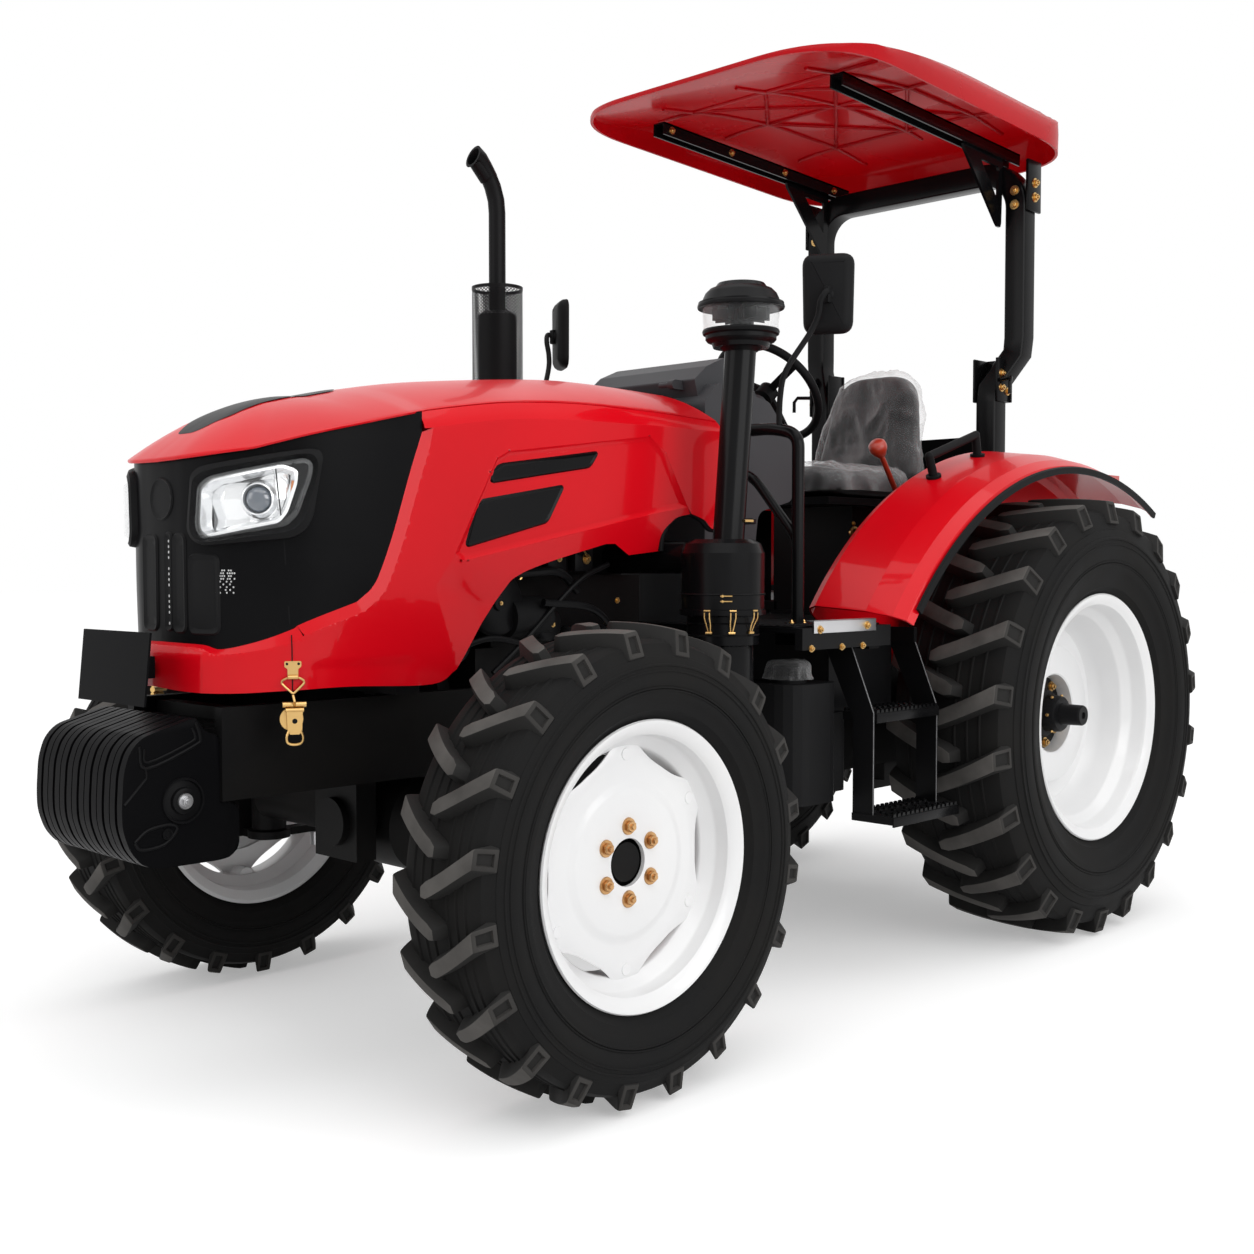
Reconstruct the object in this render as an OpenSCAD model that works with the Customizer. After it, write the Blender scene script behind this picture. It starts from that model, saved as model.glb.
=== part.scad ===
// Farm tractor with four driven wheels, a tilting hood and a canopy over the driver.
// X is forward, Y is left, Z is up, the ground is Z = 0, all sizes in millimetres.

/* [Layout] */
// front axle to rear axle
wheelbase = 2180; // [2050:10:2400]
// front axle to the tip of the weights
front_reach = 895; // [880:5:1050]
// rear axle to the tip of the lower links
hitch_reach = 900; // [880:5:1000]
// between the middles of the front tyres
front_track = 1580; // [1540:10:1700]
// between the middles of the rear tyres
rear_track = 1430; // [1430:10:1600]

/* [Front wheels] */
// radius over the lugs
front_tyre_r = 545; // [520:5:560]
// width over the side walls
front_tyre_w = 284; // [250:2:300]
// radius of the rim's flange
front_rim_r = 330; // [310:2:345]
// height of a lug
front_lug_h = 30; // [20:1:36]
// lugs on one side of the tyre
front_lugs = 20; // [18:1:24]

/* [Rear wheels] */
// radius over the lugs
rear_tyre_r = 720; // [690:5:740]
// width over the side walls
rear_tyre_w = 425; // [380:5:430]
// radius of the rim's flange
rear_rim_r = 406; // [380:2:430]
// height of a lug
rear_lug_h = 36; // [24:1:44]
// lugs on one side of the tyre
rear_lugs = 22; // [18:1:24]

/* [Front axle] */
// kingpin from the middle plane
kingpin_y = 640; // [600:5:660]
// radius of the axle tubes
axle_tube_r = 68; // [50:1:75]
// radius of the spindle in the hub
spindle_r = 45; // [35:1:50]
// radius of the kingpins
kingpin_r = 28; // [20:1:32]
// steering arm, kingpin to tie rod
arm_len = 170; // [140:5:190]

/* [Hood] */
// half width at the shoulder
hood_half = 365; // [340:5:380]
// sheet thickness
hood_t = 5; // [3:0.5:8]
// rear end behind the front axle
hood_back = 870; // [850:5:900]
// nose in front of the front axle
nose_x = 705; // [690:5:740]
// height of the crown at the rear
crown_z = 1740; // [1700:5:1780]
// how far the nose corners sweep back
nose_bow = 176; // [160:2:200]

/* [Engine and frame] */
// half width of the front frame over its rails
frame_half = 215; // [190:5:230]
// half width of the engine block
block_half = 165; // [140:5:180]
// slabs in the front weight set
slab_count = 7; // [5:1:8]
// pitch of the slabs
slab_pitch = 59; // [52:1:62]

/* [Platform] */
// top of the floor
floor_z = 1046; // [1020:2:1080]
// half width of the floor
floor_half = 700; // [660:5:720]
// thickness of the floor
floor_t = 14; // [8:1:20]
// half length of a step
step_half = 160; // [130:5:170]
// radius of the hand rail tubes
rail_r = 18; // [12:1:20]

/* [Fenders] */
// outer edge beyond the middle of the rear tyre
fender_lap = 85; // [70:5:100]
// gap between the inner wall and the rear tyre
fender_gap = 42; // [35:1:60]
// gap between the outer edge and the top of the rear tyre
tyre_gap = 83; // [60:1:110]
// radius of the outer edge
fender_r = 1230; // [1200:5:1260]
// sheet thickness
fender_t = 6; // [4:1:10]

/* [Seat and controls] */
// half width of the seat
seat_half = 245; // [210:5:260]
// top of the cushion
seat_z = 1545; // [1500:5:1580]
// radius of the steering wheel
wheel_ring_r = 190; // [170:5:210]
// tilt of the steering wheel from level
wheel_tilt = 50; // [35:1:60]

/* [Roll bar and canopy] */
// side of the square tube
rops_tube = 80; // [60:2:90]
// upper posts from the middle plane
rops_half = 438; // [420:2:460]
// gap between the lower posts and the fenders
post_gap = 54; // [30:1:70]
// top of the hoop
rops_top = 2660; // [2500:10:2750]
// half width of the canopy
canopy_half = 580; // [540:5:620]
// length of the canopy
canopy_len = 1385; // [1250:5:1450]
// thickness of the canopy
canopy_t = 6; // [4:1:10]

/* [Hitch] */
// lower link pivots inside the fenders
link_gap = 132; // [120:1:140]
// lift arm length, and its twin stretch of the lower link
lift_len = 330; // [280:5:360]
// bore of the lower link eyes
eye_bore_r = 14.35; // [11:0.05:18.5]
// bore of the top link bracket
top_bore_r = 12.85; // [9.5:0.05:16]
// bore of the drawbar
drawbar_bore_r = 16.5; // [12:0.1:20]

/* [Fits] */
// running clearance of shafts, on the radius
run_gap = 0.06; // [0.02:0.01:0.1]
// gap between seated pieces
seat_gap = 0.2; // [0.1:0.05:0.3]

/* [Hidden] */
$fn = 48;
overall = wheelbase + front_reach + hitch_reach;
fx = overall / 2 - front_reach;
rx = fx - wheelbase;
fz = front_tyre_r;
rz = rear_tyre_r;
front_y = front_track / 2;
rear_y = rear_track / 2;
front_disc = 68;
rear_disc = 6;
disc_t = 10;
hub_face = 118;
front_rim_w = front_tyre_w * 0.8;
rear_rim_w = rear_tyre_w * 0.82;
beam_gap = 6;
dash_x = fx - hood_back - 40;
engine_back = fx - 740;
shaft_r = 48;
fender_in = rear_y - rear_tyre_w / 2 - fender_gap;
fender_out = rear_y + fender_lap;
fender_z = 2 * rear_tyre_r + tyre_gap - fender_r;
rops_low_half = fender_in - post_gap - rops_tube / 2;
axle_end = rear_y - 235;
link_y = fender_in - link_gap;
gear_half = link_y - 153.5;
fender_top = fender_r + 85;
fender_rear_a = 27;
fender_front_a = acos((floor_z + seat_gap - fender_z) / fender_r);
hoop_x = rx - 243;
post_x = rx - 177;
clean_x = fx - 678;
clean_y = hood_half + 172;
pipe_x = fx - 752;
stack_x = fx - 770;
stack_y = -(hood_half + 128);
weight_half = slab_count * slab_pitch / 2;
wheel_c = [dash_x - 630, 0, 1800];
link_x = rx - 160;
link_z = 480;
arm_z = 1100;
eye_x = rx - hitch_reach + 38;
eye_y = link_y + 92;
rod_x = link_x - lift_len;
rod_y = link_y + (eye_y - link_y - 12) * lift_len / (link_x - eye_x) - 16;
hinge_x = fx - hood_back - 14;
hinge_z = crown_z + 14;

red = [0.72, 0.05, 0.06];
black = [0.06, 0.06, 0.065];
grey = [0.2, 0.2, 0.21];
white = [0.9, 0.9, 0.88];
steel = [0.6, 0.6, 0.62];

// a side outline in X and Z, drawn out over Y from y0 to y1
module side(y0, y1, pts) {
  translate([0, y1, 0]) rotate([90, 0, 0]) linear_extrude(y1 - y0) polygon(pts);
}

// a front outline in Y and Z, drawn out over X from x0 to x1
module front(x0, x1, pts) {
  translate([x0, 0, 0]) rotate([90, 0, 90]) linear_extrude(x1 - x0) polygon(pts);
}

// a plan outline in X and Y, drawn out over Z from z0 to z1
module plan(z0, z1, pts) {
  translate([0, 0, z0]) linear_extrude(z1 - z0) polygon(pts);
}

// a block between two corners
module block(a, b) {
  translate(a) cube(b - a);
}

// a round bar between two points
module rod(a, b, r) {
  v = b - a;
  translate(a) rotate([0, acos(v[2] / norm(v)), atan2(v[1], v[0])]) cylinder(h = norm(v), r = r);
}

// a bent tube through the points
module bent(pts, r) {
  for (i = [0:len(pts) - 2]) rod(pts[i], pts[i + 1], r);
  for (i = [1:len(pts) - 2]) translate(pts[i]) sphere(r = r + 0.4);
}

// a round bar along Y
module cross(x, z, y0, y1, r) {
  translate([x, y1, z]) rotate([90, 0, 0]) cylinder(h = y1 - y0, r = r);
}

// children on both sides of the middle plane
module both() {
  children();
  mirror([0, 1, 0]) children();
}

// corner points rounded off: each point is [x, y, radius]
function arc_pts(p, q, n, r) = let(
    a = [p[0] - q[0], p[1] - q[1]], b = [n[0] - q[0], n[1] - q[1]],
    u = a / norm(a), v = b / norm(b),
    half = acos(max(-1, min(1, u * v))) / 2,
    back = r / tan(half),
    c = [q[0], q[1]] + (u + v) / norm(u + v) * r / sin(half),
    s = [q[0], q[1]] + u * back - c,
    turn = (u[0] * v[1] - u[1] * v[0] > 0 ? -1 : 1) * (180 - 2 * half))
  [for (k = [0:4]) c + [s[0] * cos(turn * k / 4) - s[1] * sin(turn * k / 4),
    s[0] * sin(turn * k / 4) + s[1] * cos(turn * k / 4)]];
function soft(pts) = [for (i = [0:len(pts) - 1])
    each (pts[i][2] > 0
      ? arc_pts(pts[(i + len(pts) - 1) % len(pts)], pts[i], pts[(i + 1) % len(pts)], pts[i][2])
      : [[pts[i][0], pts[i][1]]])];

// a skin through rings of equal length, closed round and capped in pairs of points
module skin(rings) {
  n = len(rings[0]);
  m = len(rings);
  function at(j, i) = j * n + (i + n) % n;
  polyhedron(
    points = [for (r = rings) each r],
    faces = concat(
      [for (j = [0:m - 2]) for (i = [0:n - 1])
        each [[at(j, i), at(j + 1, i), at(j + 1, i + 1)], [at(j, i), at(j + 1, i + 1), at(j, i + 1)]]],
      [for (i = [0:n / 2 - 2])
        each [[at(0, i), at(0, i + 1), at(0, n - 2 - i)], [at(0, i), at(0, n - 2 - i), at(0, n - 1 - i)]]],
      [for (i = [0:n / 2 - 2])
        each [[at(m - 1, i), at(m - 1, n - 2 - i), at(m - 1, i + 1)],
          [at(m - 1, i), at(m - 1, n - 1 - i), at(m - 1, n - 2 - i)]]]));
}

// one pitch's points of a tyre's ring, each [turn in pitches, radius, y]
function tyre_ring(pts, count, k, s) = [for (p = pts) let(a = (k + p[0] + (s > 0 ? 0 : 0.5)) * 360 / count)
  [p[1] * cos(a), s * p[2], p[1] * sin(a)]];

// tyre about Y with count bars a side, as wide as w, seated on a rim of flange radius rim and width rim_w
module tyre(r, w, rim, rim_w, h, count, sweep, c) {
  b = rim_w / 2 - 16;
  f = r - rim;
  q = r - h;
  e = 1 / cos(180 / count);
  d = c / r * 28.65 / 180 * count;
  g = sweep / 360 * count;
  bar = [[[0, q, 0], [0.5, q, 0]],
    [[-d * 1.3, q, w * 0.02], [-d, r, w * 0.035], [d, r, w * 0.035], [d * 1.3, q, w * 0.02]],
    [[g - d * 1.5, q - 14, w * 0.425], [g - d * 1.2, r - 11, w * 0.44], [g + d * 1.2, r - 11, w * 0.44],
      [g + d * 1.5, q - 14, w * 0.425]],
    [[g - d * 1.5, q - 40, w * 0.45], [g - d * 1.2, r - h * 2.3, w * 0.488], [g + d * 1.2, r - h * 2.3, w * 0.488],
      [g + d * 1.5, q - 40, w * 0.45]],
    [[g, (rim + f * 0.45) * e, w * 0.5]], [[g, (rim + 7) * e, b]], [[g, (rim - 25.5) * e, b - 10]],
    [[g, (q - 46) * e, w * 0.36]]];
  n = [for (ring = bar) len(ring)];
  m = len(bar);
  from = [for (j = 0, t = 0; j < m; t = t + n[j] * count, j = j + 1) t];
  half = from[m - 1] + n[m - 1] * count - 2 * count;
  function at(s, j, i) = let(u = n[j] * count) s > 0 ? from[j] + (i + u) % u
    : j == 0 ? (i + 1 + u) % u : half + from[j] + (i + u) % u;
  function turn(s, t) = s > 0 ? t : [t[0], t[2], t[1]];
  rotate([0, d * 360 / count, 0]) polyhedron(
    points = [for (s = [1, -1]) for (j = [s > 0 ? 0 : 1:m - 1]) for (k = [0:count - 1])
      each tyre_ring(bar[j], count, k, s)],
    faces = concat(
      [for (s = [1, -1]) for (j = [0:m - 2]) for (k = [0:count - 1]) each
        (n[j] == n[j + 1] ? [for (i = [0:n[j] - 1]) let(u = k * n[j] + i) each
            [turn(s, [at(s, j, u), at(s, j + 1, u), at(s, j, u + 1)]),
              turn(s, [at(s, j, u + 1), at(s, j + 1, u), at(s, j + 1, u + 1)])]]
          : n[j] == 2 ? [for (i = [0:3]) turn(s, [at(s, j, 2 * k + (i < 2 ? 0 : 1)), at(s, 1, 4 * k + i),
              at(s, 1, 4 * k + i + 1)])]
          : [for (i = [0:3]) turn(s, [at(s, j, 4 * k + i), at(s, j + 1, k + (i < 2 ? 0 : 1)),
              at(s, j, 4 * k + i + 1)])])],
      [for (s = [1, -1]) for (k = [0:count - 1]) each
        [turn(s, [at(s, 0, 2 * k), at(s, 1, 4 * k + 2), at(s, 0, 2 * k + 1)]),
          turn(s, [at(s, 0, 2 * k + 1), at(s, 1, 4 * k + 4), at(s, 0, 2 * k + 2)]),
          turn(s, [at(s, 3, 4 * k + 2), at(s, 4, k), at(s, 4, k + 1)])]],
      [for (k = [0:count - 1]) each [[at(1, m - 1, k), at(-1, m - 1, k), at(1, m - 1, k + 1)],
        [at(1, m - 1, k), at(-1, m - 1, k - 1), at(-1, m - 1, k)]]]));
}

// rim and disc about Y, disc face on the +Y side, tabs scallops cut from the disc's edge
module wheel(rim, rim_w, disc, bore, sag, tabs) {
  e = rim_w / 2;
  low = rim - 62;
  rotate([-90, 0, 0]) {
    rotate_extrude($fn = 64) polygon([[rim, e], [rim, e - 9], [rim - 24.3, e - 14], [rim - 30, e - 62],
      [low, e - 84], [low, 84 - e], [rim - 30, 62 - e], [rim - 24.3, 14 - e], [rim, 9 - e], [rim, -e],
      [rim - 12, -e], [rim - 34, 14 - e], [rim - 39, 58 - e], [low - 8, 78 - e],
      [low - 8, e - 78], [rim - 39, e - 58], [rim - 34, e - 14], [rim - 12, e]]);
    difference() {
      rotate_extrude($fn = 64) polygon([[low - 4, disc - sag - 12], [low - 4, disc - sag], [rim * 0.62, disc - 4],
        [rim * 0.6, disc], [bore, disc], [bore, disc - disc_t], [rim * 0.56, disc - disc_t],
        [rim * 0.6, disc - 16]]);
      if (tabs > 0) for (k = [1:tabs]) rotate([0, 0, (k + 0.38) * 360 / tabs]) translate([rim * 1.1, 0, disc - 90])
        cylinder(h = 100, r = rim * 0.372);
    }
  }
}

module front_wheel() {
  wheel(front_rim_r, front_rim_w, front_disc, 55, 36, 6);
  difference() {
    cross(0, 0, -18, front_disc - disc_t, 104);
    cross(0, 0, -30, 40, spindle_r + run_gap);
  }
}

module rear_wheel() {
  wheel(rear_rim_r, rear_rim_w, rear_disc, 130, 70, 0);
  cross(0, 0, axle_end - 70 - rear_y, -60, shaft_r);
  cross(0, 0, -60, rear_disc - disc_t, 142);
  cross(0, 0, rear_disc - disc_t, rear_disc + 30, 62);
  cross(0, 0, rear_disc + 30, rear_disc + 108, 34);
}

module front_tyre() tyre(front_tyre_r, front_tyre_w, front_rim_r, front_rim_w, front_lug_h, front_lugs, 9, 36);
module rear_tyre() tyre(rear_tyre_r, rear_tyre_w, rear_rim_r, rear_rim_w, rear_lug_h, rear_lugs, 8, 46);
module at_front(s) translate([fx, s * front_y, fz]) children();
module at_rear(s) translate([rx, s * rear_y, rz]) children();

module tyre_front_left() color(black) at_front(1) front_tyre();
module tyre_front_right() color(black) at_front(-1) front_tyre();
module tyre_rear_left() color(black) at_rear(1) rear_tyre();
module tyre_rear_right() color(black) at_rear(-1) rear_tyre();
module wheel_front_left() color(white) at_front(1) front_wheel();
module wheel_front_right() color(white) at_front(-1) mirror([0, 1, 0]) front_wheel();
module wheel_rear_left() color(white) at_rear(1) rear_wheel();
module wheel_rear_right() color(white) at_rear(-1) mirror([0, 1, 0]) rear_wheel();

// stub of the left front wheel, with its kingpin bores and steering arm
module knuckle() {
  difference() {
    union() {
      translate([fx, kingpin_y, fz - 128]) cylinder(h = 22, r = 62);
      translate([fx, kingpin_y, fz + 106]) cylinder(h = 22, r = 62);
      block([fx - 50, kingpin_y + 6, fz - 128], [fx + 50, kingpin_y + 62, fz - 106]);
      block([fx - 50, kingpin_y + 6, fz + 106], [fx + 50, kingpin_y + 62, fz + 128]);
      block([fx - 62, kingpin_y + 62, fz - 128], [fx + 62, front_y - 60, fz + 128]);
      cross(fx, fz, front_y - 60, front_y - 25, 90);
      cross(fx, fz, front_y - 25, front_y + 38, spindle_r);
      block([fx - arm_len, kingpin_y - 22, fz - 128], [fx - 40, kingpin_y + 22, fz - 106]);
      translate([fx - arm_len, kingpin_y, fz - 128]) cylinder(h = 22, r = 22);
    }
    for (z = [-140, 100]) translate([fx, kingpin_y, fz + z]) cylinder(h = 40, r = kingpin_r + run_gap);
    translate([fx - arm_len, kingpin_y, fz - 140]) cylinder(h = 40, r = 10 + run_gap);
  }
}
module knuckle_left() color(black) knuckle();
module knuckle_right() color(black) mirror([0, 1, 0]) knuckle();

module tie_rod() color(steel) {
  rod([fx - arm_len, -kingpin_y, fz - 152], [fx - arm_len, kingpin_y, fz - 152], 15);
  both() translate([fx - arm_len, kingpin_y, fz - 172]) {
    cylinder(h = 39, r = 22);
    cylinder(h = 66, r = 10);
  }
}

module front_axle() color(black) {
  e = kingpin_y - 30;
  translate([fx, 0, fz]) rotate([-90, 0, 0]) rotate_extrude() polygon([[0, -e], [axle_tube_r, -e],
    [axle_tube_r, -120], [124, -40], [124, 110], [axle_tube_r, 190], [axle_tube_r, e], [0, e]]);
  both() {
    translate([fx, kingpin_y, fz - 101]) cylinder(h = 202, r = 50);
    translate([fx, kingpin_y, fz - 126]) cylinder(h = 252, r = kingpin_r);
  }
  rod([fx - 260, 0, fz + 20], [fx + 230, 0, fz + 20], 62);
}

module front_frame() color(black) {
  both() block([fx - 160, frame_half - 30, 690], [fx + 660, frame_half, 900]);
  block([fx + 560, -frame_half + 30, 700], [fx + 600, frame_half - 30, 890]);
  block([fx - 160, -frame_half + 30, 690], [fx + 560, frame_half - 30, 716]);
  difference() {
    union() {
      block([fx - 250, -90, 470], [fx - 190, 90, 716]);
      block([fx + 150, -90, 470], [fx + 210, 90, 716]);
      block([fx - 250, -90, 690], [fx - 150, 90, 716]);
    }
    rod([fx - 270, 0, fz + 20], [fx + 240, 0, fz + 20], 62 + seat_gap);
  }
  block([fx + 600, -weight_half, 700], [fx + 640, weight_half, 860]);
  block([fx + 640, -frame_half + 30, 815], [fx + 660, frame_half - 30, 850]);
}

module front_weights() color(black) for (k = [0:slab_count - 1])
  side((k - slab_count / 2) * slab_pitch + 3, (k + 1 - slab_count / 2) * slab_pitch - 3, soft([
    [fx + 612, 575, 20], [fx + 800, 555, 40], [fx + front_reach, 640, 50],
    [fx + front_reach, 770, 40], [fx + 812, 876, 30], [fx + 700, 884, 12],
    [fx + 700, 850 + seat_gap + 0.2, 0], [fx + 660.3, 850.4, 0], [fx + 660.3, 690, 0], [fx + 612, 680, 0]]));

module number_plate() color(black) {
  side(-155, 155, [[fx + nose_x + 104, 908], [fx + nose_x + 109, 908], [fx + nose_x + 93, 1070],
    [fx + nose_x + 88, 1070]]);
  block([fx + nose_x + 14 + seat_gap, -30, 960], [fx + nose_x + 98, 30, 1010]);
}

module engine_block() color(black) {
  side(-block_half, block_half, [[engine_back, 640], [fx - 262, 640], [fx - 262, 716 + seat_gap],
    [fx - 170, 716 + seat_gap], [fx - 170, 1190], [engine_back, 1190]]);
  block([engine_back + 30, -block_half + 45, 1180], [fx - 190, block_half - 45, 1330]);
  block([engine_back + 50, -block_half + 50, 1320], [fx - 210, block_half - 50, 1400]);
  block([engine_back + 60, -block_half + 40, 500], [fx - 280, block_half - 40, 650]);
  block([fx - 180, -frame_half + 30, 716 + seat_gap], [fx - 100, frame_half - 30, 1000]);
}

module engine_fittings() color(grey) {
  block([fx + 150, -270, 905], [fx + 220, 270, 1480]);
  both() block([fx + 150, 140, 900], [fx + 220, 185, 905]);
  translate([fx - 100, 0, 1120]) rotate([0, 90, 0]) cylinder(h = 60, r = 45);
  translate([fx - 60, 0, 1120]) rotate([0, 90, 0]) cylinder(h = 30, r = 210);
  translate([fx - 100, 0, 880]) rotate([0, 90, 0]) cylinder(h = 40, r = 80);
  translate([fx - 300, block_half + 55, 1080]) rotate([0, 90, 0]) cylinder(h = 130, r = 55);
  for (k = [0:1]) translate([fx - 430 - k * 130, block_half + 46 + seat_gap, 860]) cylinder(h = 190, r = 46);
  rod([fx - 160, 70, 1280], [fx + 150, 120, 1380], 26);
}

module transmission() color(black) {
  difference() {
    union() {
      block([rx - 160, -gear_half, 520], [engine_back, gear_half, 1000]);
      block([engine_back - 220, -gear_half - 40, 500], [engine_back, gear_half + 40, floor_z - floor_t - 26]);
      block([rx - 320, -gear_half + 20, 520], [rx - 160, gear_half - 20, 1040]);
      block([rx - 260, -gear_half, 1000], [rx + 300, gear_half, 1060]);
      block([link_x - 64, -gear_half, 1030], [link_x + 64, gear_half, 1164]);
      cross(link_x, link_z, -link_y - 38, link_y + 38, 16);
      both() block([link_x - 40, link_y - 60, link_z - 40], [link_x + 40, link_y - 16, link_z + 120]);
      both() block([link_x - 40, gear_half - 30, link_z + 60], [link_x + 40, link_y - 16, link_z + 120]);
      both() block([rx - 400, 28, 880], [rx - 300, 48, 980]);
    }
    cross(rx - 365, 930, -60, 60, top_bore_r);
    cross(link_x, arm_z, -gear_half - 10, gear_half + 10, 38 + run_gap);
    translate([rx - 340, 0, 640]) rotate([0, 90, 0]) cylinder(h = 140, r = 17.5 + run_gap);
    translate([rx - 321, 0, 640]) rotate([0, 90, 0]) cylinder(h = 41, r = 42);
  }
}

module pto_shaft() color(steel) translate([rx - 400, 0, 640]) rotate([0, 90, 0]) {
  cylinder(h = 190, r = 17.5);
}

module rear_axle() color(black) both() difference() {
  union() {
    cross(rx, rz, gear_half, axle_end - 10, 96);
    cross(rx, rz, axle_end - 40, axle_end, 130);
    block([post_x - 70, rops_low_half - 66, rz], [rx + 70, rops_low_half + 70, rz + 108]);
  }
  cross(rx, rz, axle_end - 80, axle_end + 20, shaft_r + run_gap);
}

module drawbar() color(black) difference() {
  union() {
    block([rx - 790, -38, 400], [rx + 60, 38, 432]);
    block([rx - 120, -70, 432], [rx + 40, 70, 520]);
    translate([rx - 790, 0, 400]) cylinder(h = 32, r = 38);
  }
  translate([rx - 790, 0, 390]) cylinder(h = 60, r = drawbar_bore_r);
}

module lower_links() color(black) both() difference() {
  union() {
    plan(link_z - 27, link_z + 27, [[link_x, link_y], [link_x, link_y + 24],
      [eye_x, eye_y + 12], [eye_x, eye_y - 12]]);
    cross(link_x, link_z, link_y - 6, link_y + 30, 36);
    cross(eye_x, link_z, eye_y - 22, eye_y + 22, 38);
    cross(rod_x, link_z, rod_y + 14, rod_y + 44, 34);
  }
  cross(link_x, link_z, link_y - 20, link_y + 60, 16 + run_gap);
  cross(eye_x, link_z, eye_y - 40, eye_y + 40, eye_bore_r);
  cross(rod_x, link_z, rod_y - 20, rod_y + 60, 13 + run_gap);
}

module lift_arms() color(black) {
  cross(link_x, arm_z, 54 - link_y, link_y - 54, 38);
  both() difference() {
    union() {
      side(link_y - 54, link_y - 30, [[link_x, arm_z - 45], [link_x, arm_z + 45],
        [rod_x, arm_z + 28], [rod_x, arm_z - 28]]);
      cross(link_x, arm_z, gear_half + 15, link_y - 30, 62);
      cross(rod_x, arm_z, link_y - 54, link_y - 30, 34);
    }
    cross(rod_x, arm_z, link_y - 70, link_y - 10, 13 + run_gap);
  }
}

module lift_rods() color(steel) both() {
  rod([rod_x, rod_y - 4, link_z], [rod_x, link_y - 12, arm_z], 13);
  cross(rod_x, link_z, rod_y - 16, rod_y + 8, 30);
  cross(rod_x, arm_z, link_y - 24, link_y, 30);
  rod([rod_x, rod_y - 16, link_z + 200], [rod_x, link_y, arm_z - 200], 22);
  cross(rod_x, link_z, rod_y - 12, rod_y + 52, 13);
  cross(rod_x, arm_z, link_y - 62, link_y - 12, 13);
}

module platform() color(black) {
  plan(floor_z - floor_t, floor_z, [[dash_x + 90, -floor_half], [rx + 940, -floor_half],
    [rx + 940, -fender_in], [rx + 400, -fender_in], [rx + 400, fender_in], [rx + 940, fender_in],
    [rx + 940, floor_half], [dash_x + 90, floor_half]]);
  both() block([rx + 940, floor_half - 26, floor_z - 60], [dash_x + 90, floor_half, floor_z - 4]);
  block([engine_back - 210, -300, floor_z - floor_t - 26], [engine_back - 130, 300, floor_z - floor_t]);
  block([rx + 420, -gear_half, 1000], [rx + 520, gear_half, floor_z - floor_t]);
  both() block([rx + 960, 200, floor_z - 70], [rx + 1010, floor_half - 26, floor_z - floor_t]);
}

// one side's steps: two stringers and two treads
module steps() color(black) both() {
  cx = rx + 930;
  difference() {
    union() {
      for (s = [-1, 1]) front(cx + s * (step_half + 3) - 3, cx + s * (step_half + 3) + 3, [
        [floor_half - 120, floor_z - 60], [floor_half - 26, floor_z - 60], [floor_half + 50, 800],
        [floor_half + 50, 490], [floor_half - 20, 490], [floor_half - 20, 780]]);
      block([cx - step_half, floor_half - 60, 776], [cx + step_half, floor_half + 56, 800]);
      block([cx - step_half - 10, floor_half - 20, 490], [cx + step_half + 10, floor_half + 120, 512]);
    }
    for (k = [-2:2]) translate([cx + k * 58, floor_half + 10, 770]) cylinder(h = 40, r = 17);
    for (k = [-2:2]) translate([cx + k * 58, floor_half + 60, 480]) cylinder(h = 40, r = 17);
  }
  for (s = [-1, 1]) block([cx + s * step_half - 8, floor_half - 120, floor_z - 60],
    [cx + s * step_half + 8, floor_half - 26 - seat_gap, floor_z - floor_t - seat_gap]);
}

module fuel_tank() color(black) {
  front_x = rx + 930 + step_half + 14;
  both() {
    plan(545, 885, soft([[front_x, 320, 20], [dash_x + 60, 320, 20], [dash_x + 60, floor_half - 50, 70],
      [front_x, floor_half - 50, 60]]));
    plan(560, 790, soft([[dash_x - 270, 320, 20], [front_x + 40, 320, 0], [front_x + 40, floor_half - 100, 0],
      [dash_x - 270, floor_half - 100, 40]]));
    block([front_x + 20, 380, 880], [dash_x - 20, 420, floor_z - floor_t]);
    block([dash_x - 180, gear_half, 700], [dash_x - 120, 330, 740]);
  }
  translate([dash_x - 30, floor_half - 140, 880]) cylinder(h = 50, r = 42);
}

// outline of the console
module console_body() side(-270, 270, soft([[dash_x, floor_z, 0], [dash_x, 1700, 30], [dash_x - 60, 1760, 30],
  [dash_x - 300, 1720, 40], [dash_x - 420, 1600, 40], [dash_x - 420, 1420, 30],
  [dash_x - 250, 1380, 40], [dash_x - 200, floor_z, 0]]));

module console() color(grey) {
  console_body();
  side(-225, 225, soft([[dash_x - 20, 1715, 0], [dash_x - 4, 1768, 6], [dash_x - 60, 1812, 30],
    [dash_x - 150, 1848, 40], [dash_x - 250, 1800, 40], [dash_x - 330, 1690, 0]]));
  rod(wheel_c - 360 * [-sin(wheel_tilt), 0, cos(wheel_tilt)],
    wheel_c - 60 * [-sin(wheel_tilt), 0, cos(wheel_tilt)], 32);
  rod(wheel_c - 100 * [-sin(wheel_tilt), 0, cos(wheel_tilt)],
    wheel_c - 1 * [-sin(wheel_tilt), 0, cos(wheel_tilt)], 11);
  both() {
    block([dash_x - 60, 156, hinge_z - 14], [hinge_x, 176, hinge_z + 14]);
    cross(hinge_x, hinge_z, 156, 176, 14);
    cross(hinge_x, hinge_z, 114, 176, 8);
  }
}

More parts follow.
